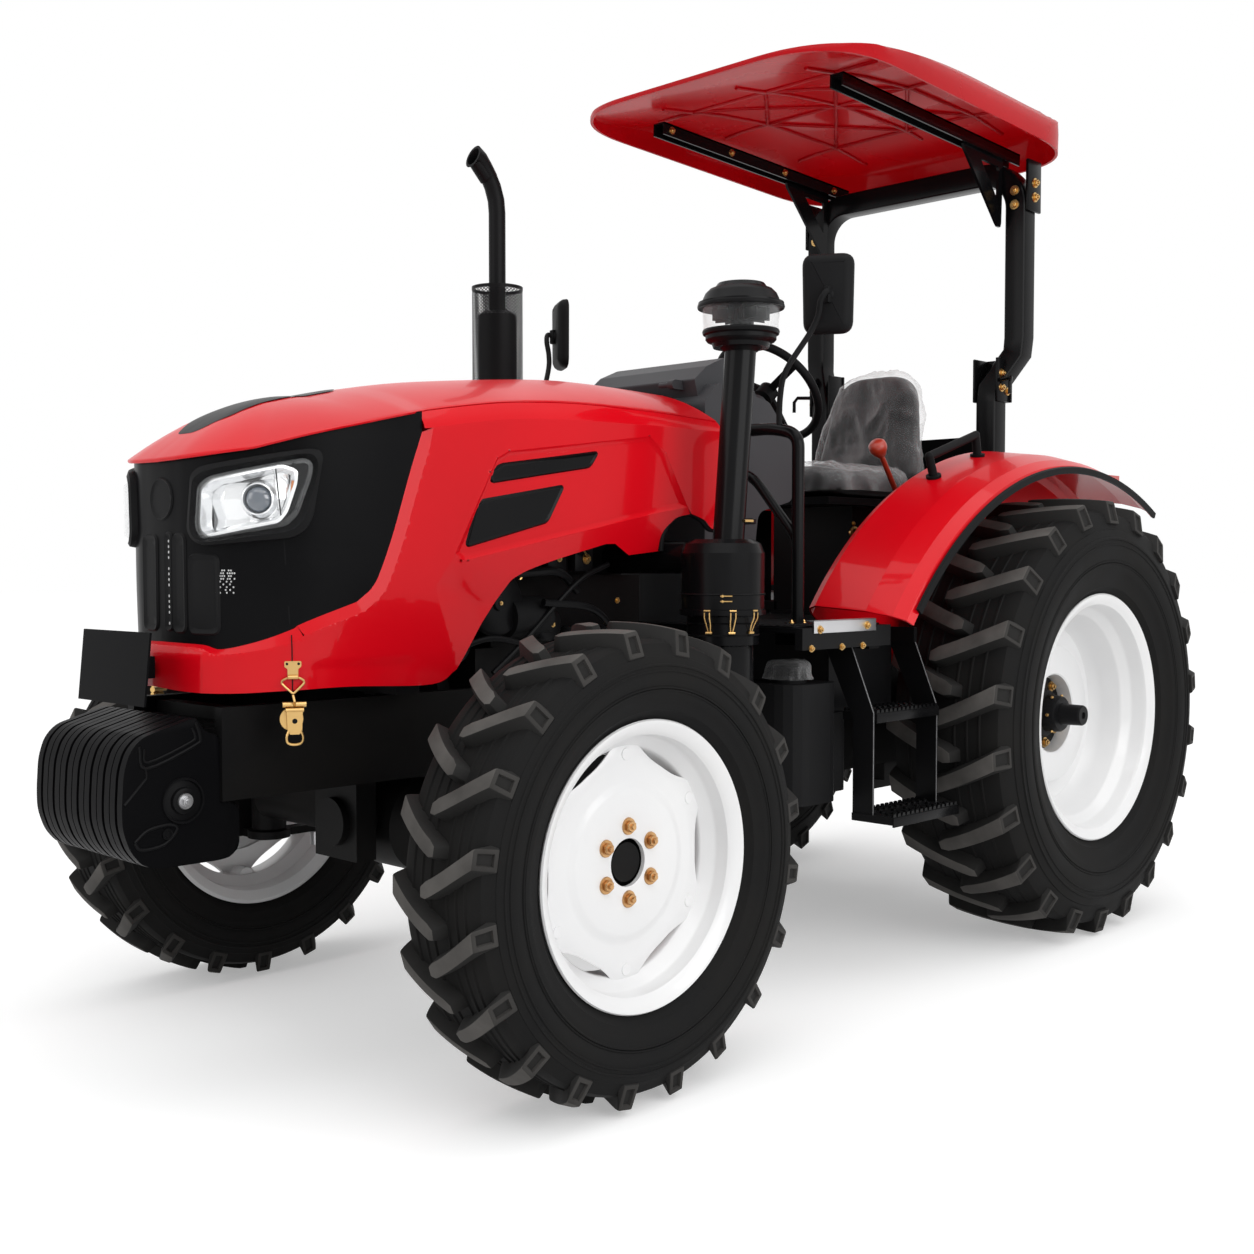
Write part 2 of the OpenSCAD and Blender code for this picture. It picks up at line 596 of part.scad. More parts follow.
module steering_wheel() color(black) translate(wheel_c) rotate([0, -wheel_tilt, 0]) {
  rotate_extrude($fn = 48) translate([wheel_ring_r, 0]) circle(r = 14);
  difference() {
    union() {
      translate([0, 0, -40]) cylinder(h = 48, r = 34);
      for (a = [60, 180, 300]) rotate([0, 0, a]) block([20, -13, -8], [wheel_ring_r - 4, 13, 4]);
    }
    translate([0, 0, -50]) cylinder(h = 50, r = 11 + run_gap);
  }
}

module controls() color(black) {
  difference() {
    for (y = [150, -150, -240]) {
      rod([dash_x - 190, y, 1300], [dash_x - 320, y, 1130], 10);
      translate([dash_x - 350, y - 40, 1142]) rotate([0, 35, 0]) cube([75, 80, 12]);
    }
    translate([-seat_gap, 0, 0]) console_body();
  }
  both() {
    translate([rx + 340, fender_in - 130, floor_z + 374 + seat_gap]) cylinder(h = 20, r = 14);
    rod([rx + 340, fender_in - 130, floor_z + 386], [rx + 500, fender_in - 110, 1600], 8);
    translate([rx + 500, fender_in - 110, 1600]) sphere(r = 26);
  }
}

module handrails() color(black) both() {
  bent([[dash_x - 70, 560, floor_z], [dash_x - 70, 560, 1520], [dash_x - 60, 520, 1590],
    [dash_x - 60, 300, 1610], [dash_x - 60, 270 + seat_gap, 1610]], rail_r);
  bent([[dash_x - 70, 560, 1290], [dash_x - 60, 400, 1480], [dash_x - 60, 300, 1500],
    [dash_x - 60, 270 + seat_gap, 1500]], rail_r * 0.8);
  translate([dash_x - 70, 560, floor_z]) cylinder(h = 8, r = 40);
}

module mirrors() color(black) both() {
  bent([[dash_x - 60, 500, 1600 + rail_r - 8], [dash_x - 80, 520, 1800], [dash_x - 210, 560, 1890],
    [dash_x - 210, 560, 1990]], 9);
  translate([dash_x - 204, 562, 0]) rotate([0, 0, 25])
    front(-18, 18, soft([[-66, 1890, 25], [66, 1890, 25], [66, 2115, 30], [-66, 2115, 30]]));
}

module air_cleaner() color(black) {
  translate([clean_x, clean_y, 0]) rotate_extrude() polygon([[0, 895], [84, 895], [84, 1000], [98, 1004],
    [98, 1080], [118, 1084], [118, 1098], [114, 1100], [114, 1250], [104, 1276], [84, 1287], [0, 1287]]);
  rod([clean_x - 22, clean_y, 1270], [pipe_x, clean_y, 1820], 43);
  translate([pipe_x, clean_y, 1810]) cylinder(h = 40, r1 = 76, r2 = 90);
  translate([pipe_x, clean_y, 1920]) cylinder(h = 12, r = 117);
  translate([pipe_x, clean_y, 1932]) cylinder(h = 52, r1 = 104, r2 = 64);
  block([clean_x - 40, block_half, 1010], [clean_x + 40, clean_y - 80, 1030]);
  cross(clean_x, 1240, block_half - 45 + seat_gap, clean_y - 90, 46);
}

module precleaner_bowl() color([0.8, 0.85, 0.85]) translate([pipe_x, clean_y, 1850]) difference() {
  cylinder(h = 70, r = 106);
  translate([0, 0, 5]) cylinder(h = 60, r = 101);
}

module muffler() color(black) {
  cross(fx - 640, 1250, -block_half - 10, 45 - block_half - seat_gap, 44);
  rod([fx - 640, 15 - block_half, 1250], [stack_x, stack_y, 1250], 34);
  translate([stack_x, stack_y, 1206]) cylinder(h = 284, r = 36);
  translate([stack_x, stack_y, 1480]) cylinder(h = 640, r = 66);
  translate([stack_x, stack_y, 2110]) cylinder(h = 280, r = 27);
  translate([stack_x + 120, stack_y, 2390]) rotate([90, 0, 0]) rotate([0, 0, 135])
    rotate_extrude(angle = 45) translate([120, 0]) circle(r = 27);
  rod([stack_x + 35.15, stack_y, 2474.85], [stack_x + 92, stack_y, 2531.7], 27);
  difference() {
    translate([stack_x, stack_y, 1500]) cylinder(h = 600, r = 82);
    translate([stack_x, stack_y, 1490]) cylinder(h = 700, r = 80);
  }
  for (z = [1530, 2060]) for (a = [0, 120, 240]) translate([stack_x, stack_y, z]) rotate([0, 0, a])
    block([60, -8, 0], [81, 8, 10]);
}

// a band of the left fender turned about its centre, between two angles from upright
module fender_band(a0, a1, pts) {
  translate([rx, 0, fender_z]) rotate([90, 0, 0]) rotate([0, 0, 90 - a1])
    rotate_extrude(angle = a1 - a0, $fn = 240) polygon([for (p = pts) [p[1], -p[0]]]);
}
fender_line = [[fender_in, fender_r - 380], [fender_in, fender_top - 40], [fender_in + 12, fender_top - 12],
  [fender_in + 40, fender_top], [fender_out - 130, fender_top - 20], [fender_out - 50, fender_top - 42],
  [fender_out - 12, fender_top - 62], [fender_out, fender_r]];
fender_skin = concat(fender_line, [[fender_out - fender_t, fender_r], [fender_out - 18, fender_top - 66],
  [fender_out - 54, fender_top - 48], [fender_out - 132, fender_top - 26],
  [fender_in + 42, fender_top - 6], [fender_in + 16, fender_top - 16],
  [fender_in + fender_t, fender_top - 42], [fender_in + fender_t, fender_r - 380]]);

// a point h above the fender's top, at an angle from upright
function fender_pt(a, h) = let(r = fender_top - 8 + h) [rx + r * sin(a), fender_in + 108, fender_z + r * cos(a)];

module fenders() color(red) both() difference() {
  fender_band(-fender_rear_a, fender_front_a, fender_skin);
  block([rx + 930, 0, 0], [rx + 1400, 1000, floor_z + seat_gap]);
}

module fender_trim() color(black) both() {
  fender_band(-fender_rear_a, fender_front_a - 2, [[fender_out, fender_r - 4], [fender_out, fender_r + 20],
    [fender_out + 8, fender_r + 16], [fender_out + 8, fender_r - 4]]);
  bent([fender_pt(23, 4), fender_pt(23, 70), fender_pt(11, 70), fender_pt(11, 4)], 14, $fn = 16);
  for (a = [23, 11]) translate(fender_pt(a, seat_gap)) rotate([0, a, 0]) rotate([-6.7, 0, 0])
    cylinder(h = 8, r = 24, $fn = 24);
}

module tail_lamps() color([0.6, 0.1, 0.05]) both() difference() {
  lamp_z = fender_z + sqrt(pow(fender_top - 20, 2) - pow(480, 2));
  block([rx - 520, fender_out - 190, lamp_z - 56], [rx - 440, fender_out - 110, lamp_z + 44]);
  fender_band(-fender_rear_a - 3, 0, [[fender_in, fender_r - 430], [fender_in, fender_top],
    [fender_in + 40, fender_top + seat_gap], [fender_out - 130, fender_top - 20 + seat_gap],
    [fender_out - 50, fender_top - 42 + seat_gap], [fender_out - 50, fender_r - 430]]);
}

module seat_base() color(black) {
  block([rx + 170, -170, 1060], [rx + 390, 170, 1440]);
  block([rx + 50, -seat_half + 20, 1420], [rx + 600, seat_half - 20, 1445]);
  block([rx + 300, -gear_half, 1000], [rx + 400, gear_half, 1060]);
  both() block([rx + 240, fender_in - 160, 1040], [rx + 400, fender_in - 80, floor_z + 374]);
  both() block([rx + 240, 160, 1060], [rx + 400, fender_in - 150, 1090]);
  both() block([rx + 400, fender_in - 160, floor_z], [rx + 560, fender_in - 80, floor_z + 200]);
  block([rx - 225, 66 - rops_low_half, 1260], [rx - 205, rops_low_half - 66, 1685]);
  block([rx - 225, -150, 1164], [rx - 165, 150, 1270]);
  both() block([rx - 215, rops_low_half - 76, 1300], [rx - 205, rops_low_half - rops_tube / 2, 1400]);
}

module seat_cushions() color(black) {
  side(-seat_half, seat_half, soft([[rx + 100, 1445 + seat_gap, 20], [rx + 615, 1445 + seat_gap, 40], [rx + 640, seat_z, 40],
    [rx + 140, seat_z - 25, 20]]));
  side(-seat_half + 10, seat_half - 10, soft([[rx + 60, 1445 + seat_gap, 20], [rx + 95, 1445 + seat_gap, 10],
    [rx + 130, 1540, 30], [rx + 30, 1900, 40], [rx - 60, 1900, 40], [rx + 10, 1560, 40]]));
}

module rops() color(black) {
  t = rops_tube / 2;
  both() {
    block([post_x - t, rops_low_half - t, rz + 108], [post_x + t, rops_low_half + t, 1840]);
    hull() {
      block([post_x - t, rops_low_half - t, 1820], [post_x + t, rops_low_half + t, 1840]);
      block([hoop_x - t, rops_half - t, 1990], [hoop_x + t, rops_half + t, 2010]);
    }
    block([hoop_x - t, rops_half - t, 2000], [hoop_x + t, rops_half + t, rops_top - 120]);
    intersection() {
      block([hoop_x - t, rops_half + t - 160, rops_top - 160], [hoop_x + t, rops_half + t, rops_top]);
      translate([hoop_x - t, rops_half + t - 160, rops_top - 160]) rotate([0, 90, 0]) difference() {
        cylinder(h = 2 * t, r = 160);
        translate([0, 0, -1]) cylinder(h = 2 * t + 2, r = 160 - 2 * t);
      }
    }
    block([post_x - t - 12, rops_low_half - t - 12, rz + 108], [post_x + t + 12, rops_low_half + t + 12, rz + 130]);
  }
  block([hoop_x - t, -rops_half - t + 159, rops_top - 2 * t], [hoop_x + t, rops_half + t - 159, rops_top]);
  translate([hoop_x, 0, rops_top]) rotate([0, -3.4, 0]) both() {
    block([-60, 350, -2], [canopy_len - 330, 400, 40]);
    side(378, 386, [[t, 0], [260, 0], [t, -260]]);
  }
}

// the canopy's outer form, pulled in by d, in the place of the roof
module canopy_form(d) {
  w = canopy_half - d;
  u0 = -200 + d;
  u1 = canopy_len - 200 - d;
  intersection() {
    front(u0, u1, soft([[-w, 30 - 3 * d, 0], [w, 30 - 3 * d, 0], [w - 10, 78 - d, 24], [w - 110, 150 - d, 70],
      [0, 182 - d, 900], [110 - w, 150 - d, 70], [10 - w, 78 - d, 24]]));
    side(-w, w, soft([[u0, 30 - 3 * d, 0], [u1, 30 - 3 * d, 0], [u1, 46 - d, 6], [u1 - 380, 170 - d, 500],
      [u0 + 330, 176 - d, 400], [u0 + 20, 118 - d, 50]]));
    plan(-50, 300, soft([[u0, -w, 120], [u1, -w, 200], [u1, w, 200], [u0, w, 120]]));
  }
}

module canopy() color(red) translate([hoop_x, 0, rops_top]) rotate([0, -3.4, 0]) {
  difference() {
    canopy_form(0);
    canopy_form(canopy_t);
  }
  intersection() {
    canopy_form(canopy_t - 1);
    union() {
      both() block([-180, 355, 40], [canopy_len - 240, 363, 300]);
      for (k = [0:3]) block([-60 + k * 330, -canopy_half, 62], [-52 + k * 330, canopy_half, 300]);
    }
  }
}

// heights along the hood from the front axle: crown, and lower edge
function crown_at(x) = crown_z + lookup(x, [[-900, -2], [-600, 4], [-370, -5], [0, -45], [310, -100],
  [460, -142], [600, -200], [705, -268]]);
function low_at(x) = lookup(x, [[-900, 1363], [-680, 1361], [-590, 1262], [-370, 1272], [-110, 1180],
  [20, 1030], [110, 915], [310, 930], [460, 940], [705, 952]]);
function bow_at(x) = x < 310 ? 0 : nose_bow * (x - 310) / (nose_x - 310);
function drop_at(x) = x < 460 ? 75 : 75 - 85 * (x - 460) / (nose_x - 460);

// half section at a station, bottom to crown, pulled in by d
function hood_half_pts(x, d) = let(c = crown_at(x), k = drop_at(x), z0 = low_at(x), h = hood_half)
  [[h - 14 - d, z0], [h + 10 - d, z0 + (c - k - 62 - z0) * 0.55], [h + 16 - d, c - k - 62],
    [h - d, c - k - d], [h * 0.8, c - k * 0.45 - d], [h * 0.52, c - k * 0.14 - d], [0, c - d]];
function hood_ring(x, d) = let(a = hood_half_pts(x, d), b = bow_at(x))
  concat([for (i = [0:6]) [fx + x - b * pow(a[i][0] / hood_half, 2), a[i][0], a[i][1]]],
    [for (i = [5:-1:0]) [fx + x - b * pow(a[i][0] / hood_half, 2), -a[i][0], a[i][1]]]);
function reverse(v) = [for (i = [len(v) - 1:-1:0]) v[i]];

module hood_shell() color(red) {
  skin([for (x = [-hood_back, -680, -590, -370, -110, 20, 110, 310, 460, 600, nose_x])
    concat(hood_ring(x, 0), reverse(hood_ring(x, hood_t)))]);
  both() difference() {
    union() {
      block([hinge_x, 120, hinge_z - 28], [hinge_x + 60, 150, hinge_z - 8]);
      cross(hinge_x, hinge_z, 120, 150, 15);
    }
    cross(hinge_x, hinge_z, 100, 170, 8 + run_gap);
  }
}

// a plan band round the nose, n steps, from d in to d + t in
function nose_arc(d, half, lift) = [for (k = [-8:8]) let(y = half * k / 8)
  [fx + nose_x + lift - d - nose_bow * pow(y / hood_half, 2), y]];
module nose_band(z0, z1, d, t, half, lift) {
  plan(z0, z1, concat(nose_arc(d, half, lift), reverse(nose_arc(d + t, half, lift))));
}

module grille() color(black) {
  difference() {
    nose_band(1055 + seat_gap, 1464, 6, 30, hood_half - 12, 0);
    nose_band(1300, 1425, 0, 18, hood_half - 20, 0);
    translate([fx + nose_x - 20, 0, 1372]) rotate([0, 90, 0]) cylinder(h = 60, r = 46);
    for (k = [-5:5]) if (k != 0) block([fx + nose_x - 60, k * 30 - 8, 1090], [fx + nose_x + 20, k * 30 + 8, 1270]);
  }
}

module headlamps() color([0.85, 0.87, 0.9]) both() difference() {
  nose_band(1304, 1421, 4, 13, hood_half - 24, 0);
  block([fx, -1000, 1000], [fx + 1000, 150, 1600]);
}

module bumper() color(red) {
  nose_band(940, 1055, 0, 40, hood_half - 19.3, 14);
  both() block([fx + nose_x - nose_bow - 16, hood_half - 36, 942], [fx + nose_x - nose_bow + 40, hood_half - 19.3, 1052]);
}

front_frame();
front_weights();
number_plate();
front_axle();
engine_block();
engine_fittings();
transmission();
rear_axle();
platform();
steps();
fuel_tank();
console();
controls();
handrails();
mirrors();
air_cleaner();
precleaner_bowl();
muffler();
fenders();
fender_trim();
tail_lamps();
seat_base();
seat_cushions();
rops();
canopy();
drawbar();
hood_shell();
grille();
bumper();
headlamps();
knuckle_left();
knuckle_right();
tie_rod();
tyre_front_left();
tyre_front_right();
tyre_rear_left();
tyre_rear_right();
wheel_front_left();
wheel_front_right();
wheel_rear_left();
wheel_rear_right();
steering_wheel();
lower_links();
lift_arms();
lift_rods();
pto_shaft();
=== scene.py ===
import math
import bmesh
import bpy
import numpy
from mathutils import Matrix, Vector, noise


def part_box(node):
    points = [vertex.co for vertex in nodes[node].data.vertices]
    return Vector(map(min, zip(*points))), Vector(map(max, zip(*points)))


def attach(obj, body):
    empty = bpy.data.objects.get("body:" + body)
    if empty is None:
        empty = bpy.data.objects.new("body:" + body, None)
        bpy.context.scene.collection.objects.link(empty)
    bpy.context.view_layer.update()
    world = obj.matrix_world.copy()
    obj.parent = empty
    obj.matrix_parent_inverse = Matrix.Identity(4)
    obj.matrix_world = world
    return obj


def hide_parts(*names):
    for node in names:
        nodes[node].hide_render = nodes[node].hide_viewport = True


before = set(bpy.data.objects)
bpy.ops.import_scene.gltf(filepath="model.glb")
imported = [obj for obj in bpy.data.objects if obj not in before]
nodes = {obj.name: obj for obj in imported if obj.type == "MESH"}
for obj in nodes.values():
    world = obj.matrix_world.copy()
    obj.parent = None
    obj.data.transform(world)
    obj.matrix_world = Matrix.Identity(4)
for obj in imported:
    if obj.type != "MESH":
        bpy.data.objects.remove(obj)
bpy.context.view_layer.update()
scene = bpy.context.scene
scene.view_settings.view_transform = "Standard"

hubLow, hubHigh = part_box("tyre_front_left")
axleX = ((hubLow + hubHigh) / 2).x   # the photograph was measured from the front axle
axleShift = Vector((axleX, 0, 0))
print("frame loaded, front axle at", round(axleX, 4))


# camera and studio

photoView = {"place": (2.4055, 3.1597, 1.2165), "yaw": -135.94, "pitch": -2.36, "lens": 42.73, "sensor": 36.0}


def makeCamera(look):
    data = bpy.data.cameras.new("photoCamera")
    data.sensor_fit = "HORIZONTAL"
    data.sensor_width = look["sensor"]
    data.lens = look["lens"]
    camera = bpy.data.objects.new("photoCamera", data)
    yaw, pitch = math.radians(look["yaw"]), math.radians(look["pitch"])
    ahead = Vector((math.cos(pitch) * math.cos(yaw), math.cos(pitch) * math.sin(yaw), math.sin(pitch)))
    camera.location = Vector(look["place"]) + axleShift
    camera.rotation_mode = "QUATERNION"
    camera.rotation_quaternion = ahead.to_track_quat("-Z", "Y")
    scene.collection.objects.link(camera)
    scene.camera = camera


studio = {
    "floorSize": 120.0, "floorGlow": 0.36, "floorTone": 0.78, "skyLight": 0.36,
    "sun": {"strength": 1.75, "angle": 80, "from": (0.5, 0.5, 3.0)},
    "lamps": [
        {"name": "leftSide", "place": (0.5, 6.5, 3.2), "aim": (0.0, 0.0, 1.0), "size": (6.0, 3.0),
         "power": 190},
        {"name": "frontSide", "place": (6.5, -1.5, 3.0), "aim": (0.5, 0.0, 1.0), "size": (4.0, 3.0),
         "power": 60},
    ],
}


def rayMix(tree, lightShader, seenShader):
    rays = tree.nodes.new("ShaderNodeLightPath")
    first = tree.nodes.new("ShaderNodeMath")
    first.operation = "MAXIMUM"
    second = tree.nodes.new("ShaderNodeMath")
    second.operation = "MAXIMUM"
    tree.links.new(rays.outputs["Is Camera Ray"], first.inputs[0])
    tree.links.new(rays.outputs["Is Glossy Ray"], first.inputs[1])
    tree.links.new(first.outputs[0], second.inputs[0])
    tree.links.new(rays.outputs["Is Transmission Ray"], second.inputs[1])
    mix = tree.nodes.new("ShaderNodeMixShader")
    tree.links.new(second.outputs[0], mix.inputs[0])
    tree.links.new(lightShader, mix.inputs[1])
    tree.links.new(seenShader, mix.inputs[2])
    return mix.outputs[0]


def makeStudio(look):
    world = bpy.data.worlds.new("studioWorld")
    world.use_nodes = True
    scene.world = world
    tree = world.node_tree
    tree.nodes.clear()
    light = tree.nodes.new("ShaderNodeBackground")
    light.inputs["Strength"].default_value = look["skyLight"]
    seen = tree.nodes.new("ShaderNodeBackground")
    seen.inputs["Strength"].default_value = 1.0
    for shade in (light, seen):
        shade.inputs["Color"].default_value = (1, 1, 1, 1)
    out = tree.nodes.new("ShaderNodeOutputWorld")
    tree.links.new(rayMix(tree, light.outputs[0], seen.outputs[0]), out.inputs["Surface"])

    bm = bmesh.new()
    bmesh.ops.create_grid(bm, x_segments=2, y_segments=2, size=look["floorSize"] / 2)
    mesh = bpy.data.meshes.new("studioFloor")
    bm.to_mesh(mesh)
    bm.free()
    floor = bpy.data.objects.new("studioFloor", mesh)
    scene.collection.objects.link(floor)
    paper = bpy.data.materials.new("paleFloor")
    paper.use_nodes = True
    tree = paper.node_tree
    tree.nodes.clear()
    plain = tree.nodes.new("ShaderNodeBsdfDiffuse")
    plain.inputs["Color"].default_value = (0.75, 0.75, 0.75, 1)
    matte = tree.nodes.new("ShaderNodeBsdfDiffuse")
    matte.inputs["Color"].default_value = (look["floorTone"],) * 3 + (1,)
    glow = tree.nodes.new("ShaderNodeEmission")
    glow.inputs["Strength"].default_value = look["floorGlow"]
    add = tree.nodes.new("ShaderNodeAddShader")
    tree.links.new(matte.outputs[0], add.inputs[0])
    tree.links.new(glow.outputs[0], add.inputs[1])
    out = tree.nodes.new("ShaderNodeOutputMaterial")
    tree.links.new(rayMix(tree, plain.outputs[0], add.outputs[0]), out.inputs["Surface"])
    mesh.materials.append(paper)

    data = bpy.data.lights.new("broadSun", "SUN")   # a wide soft light from above
    data.energy = look["sun"]["strength"]
    data.angle = math.radians(look["sun"]["angle"])
    light = bpy.data.objects.new("broadSun", data)
    light.rotation_mode = "QUATERNION"
    light.rotation_quaternion = (-Vector(look["sun"]["from"])).to_track_quat("-Z", "Y")
    scene.collection.objects.link(light)
    for lamp in look["lamps"]:
        data = bpy.data.lights.new(lamp["name"], "AREA")
        data.shape = "RECTANGLE"
        data.size, data.size_y = lamp["size"]
        data.energy = lamp["power"]
        light = bpy.data.objects.new(lamp["name"], data)
        light.location = lamp["place"]
        light.rotation_mode = "QUATERNION"
        light.rotation_quaternion = (Vector(lamp["aim"]) - light.location).to_track_quat("-Z", "Y")
        scene.collection.objects.link(light)


makeCamera(photoView)
makeStudio(studio)
print("camera and studio made")


# finishes

def makeGrainGroup():
    group = bpy.data.node_groups.new("surfaceGrain", "ShaderNodeTree")
    face = group.interface
    face.new_socket("Scale", in_out="INPUT", socket_type="NodeSocketFloat").default_value = 20.0
    face.new_socket("Patch Scale", in_out="INPUT", socket_type="NodeSocketFloat").default_value = 3.0
    face.new_socket("Mask", in_out="OUTPUT", socket_type="NodeSocketFloat")
    face.new_socket("Height", in_out="OUTPUT", socket_type="NodeSocketFloat")
    start = group.nodes.new("NodeGroupInput")
    end = group.nodes.new("NodeGroupOutput")
    coords = group.nodes.new("ShaderNodeTexCoord")
    patch = group.nodes.new("ShaderNodeTexNoise")
    patch.inputs["Detail"].default_value = 5.0
    fine = group.nodes.new("ShaderNodeTexNoise")
    fine.inputs["Detail"].default_value = 3.0
    for texture, socket in ((patch, "Patch Scale"), (fine, "Scale")):
        group.links.new(coords.outputs["Object"], texture.inputs["Vector"])
        group.links.new(start.outputs[socket], texture.inputs["Scale"])
    group.links.new(patch.outputs["Fac"], end.inputs["Mask"])
    group.links.new(fine.outputs["Fac"], end.inputs["Height"])
    return group


grainGroup = makeGrainGroup()


def makeFinish(name, look):
    material = bpy.data.materials.new(name)
    material.use_nodes = True
    tree = material.node_tree
    shader = tree.nodes["Principled BSDF"]
    grain = tree.nodes.new("ShaderNodeGroup")
    grain.node_tree = grainGroup
    grain.inputs["Scale"].default_value = look.get("grain", 200.0)
    grain.inputs["Patch Scale"].default_value = look.get("patch", 3.0)
    spread = tree.nodes.new("ShaderNodeMapRange")
    spread.inputs["From Min"].default_value = 0.3
    spread.inputs["From Max"].default_value = 0.7
    tree.links.new(grain.outputs["Mask"], spread.inputs["Value"])
    blend = tree.nodes.new("ShaderNodeMix")
    blend.data_type = "RGBA"
    blend.inputs[6].default_value = (*look["color"], 1)
    blend.inputs[7].default_value = (*look.get("tint", [c * 0.9 for c in look["color"]]), 1)
    tree.links.new(spread.outputs["Result"], blend.inputs[0])
    colour = blend.outputs[2]
    if "unworn" in look:   # darker where the wear attribute is 0
        wear = tree.nodes.new("ShaderNodeAttribute")
        wear.attribute_name = "wear"
        worn = tree.nodes.new("ShaderNodeMix")
        worn.data_type = "RGBA"
        worn.inputs[6].default_value = (*look["unworn"], 1)
        tree.links.new(wear.outputs["Fac"], worn.inputs[0])
        tree.links.new(colour, worn.inputs[7])
        colour = worn.outputs[2]
    tree.links.new(colour, shader.inputs["Base Color"])
    rough = tree.nodes.new("ShaderNodeMapRange")
    rough.inputs["To Min"].default_value = look["rough"]
    rough.inputs["To Max"].default_value = look["rough"] + look.get("roughSpread", 0.05)
    tree.links.new(spread.outputs["Result"], rough.inputs["Value"])
    tree.links.new(rough.outputs["Result"], shader.inputs["Roughness"])
    bump = tree.nodes.new("ShaderNodeBump")
    bump.inputs["Strength"].default_value = look.get("bump", 0.05)
    bump.inputs["Distance"].default_value = 0.001
    tree.links.new(grain.outputs["Height"], bump.inputs["Height"])
    tree.links.new(bump.outputs["Normal"], shader.inputs["Normal"])
    shader.inputs["Metallic"].default_value = look.get("metal", 0.0)
    shader.inputs["Coat Weight"].default_value = look.get("coat", 0.0)
    shader.inputs["Coat Roughness"].default_value = 0.04
    shader.inputs["Specular IOR Level"].default_value = look.get("specular", 0.5)
    if "whiteSheen" in look:   # clear sheet or lens: real reflections, plus a painted white sheen that grows where it turns away
        facing = tree.nodes.new("ShaderNodeLayerWeight")
        facing.inputs["Blend"].default_value = look.get("turnAway", 0.3)
        whiteSheen = tree.nodes.new("ShaderNodeMapRange")
        whiteSheen.inputs["To Min"].default_value = look["whiteSheen"]
        whiteSheen.inputs["To Max"].default_value = look.get("edgeWhiteSheen", 0.8)
        tree.links.new(facing.outputs["Facing"], whiteSheen.inputs["Value"])
        tree.links.new(whiteSheen.outputs["Result"], shader.inputs["Alpha"])
    if "glow" in look:   # light let through from the other side
        thin = tree.nodes.new("ShaderNodeBsdfTranslucent")
        thin.inputs["Color"].default_value = (*look["glow"], 1)
        both = tree.nodes.new("ShaderNodeMixShader")
        both.inputs["Fac"].default_value = look["through"]
        out = tree.nodes["Material Output"]
        tree.links.new(shader.outputs["BSDF"], both.inputs[1])
        tree.links.new(thin.outputs["BSDF"], both.inputs[2])
        tree.links.new(both.outputs["Shader"], out.inputs["Surface"])
    return material


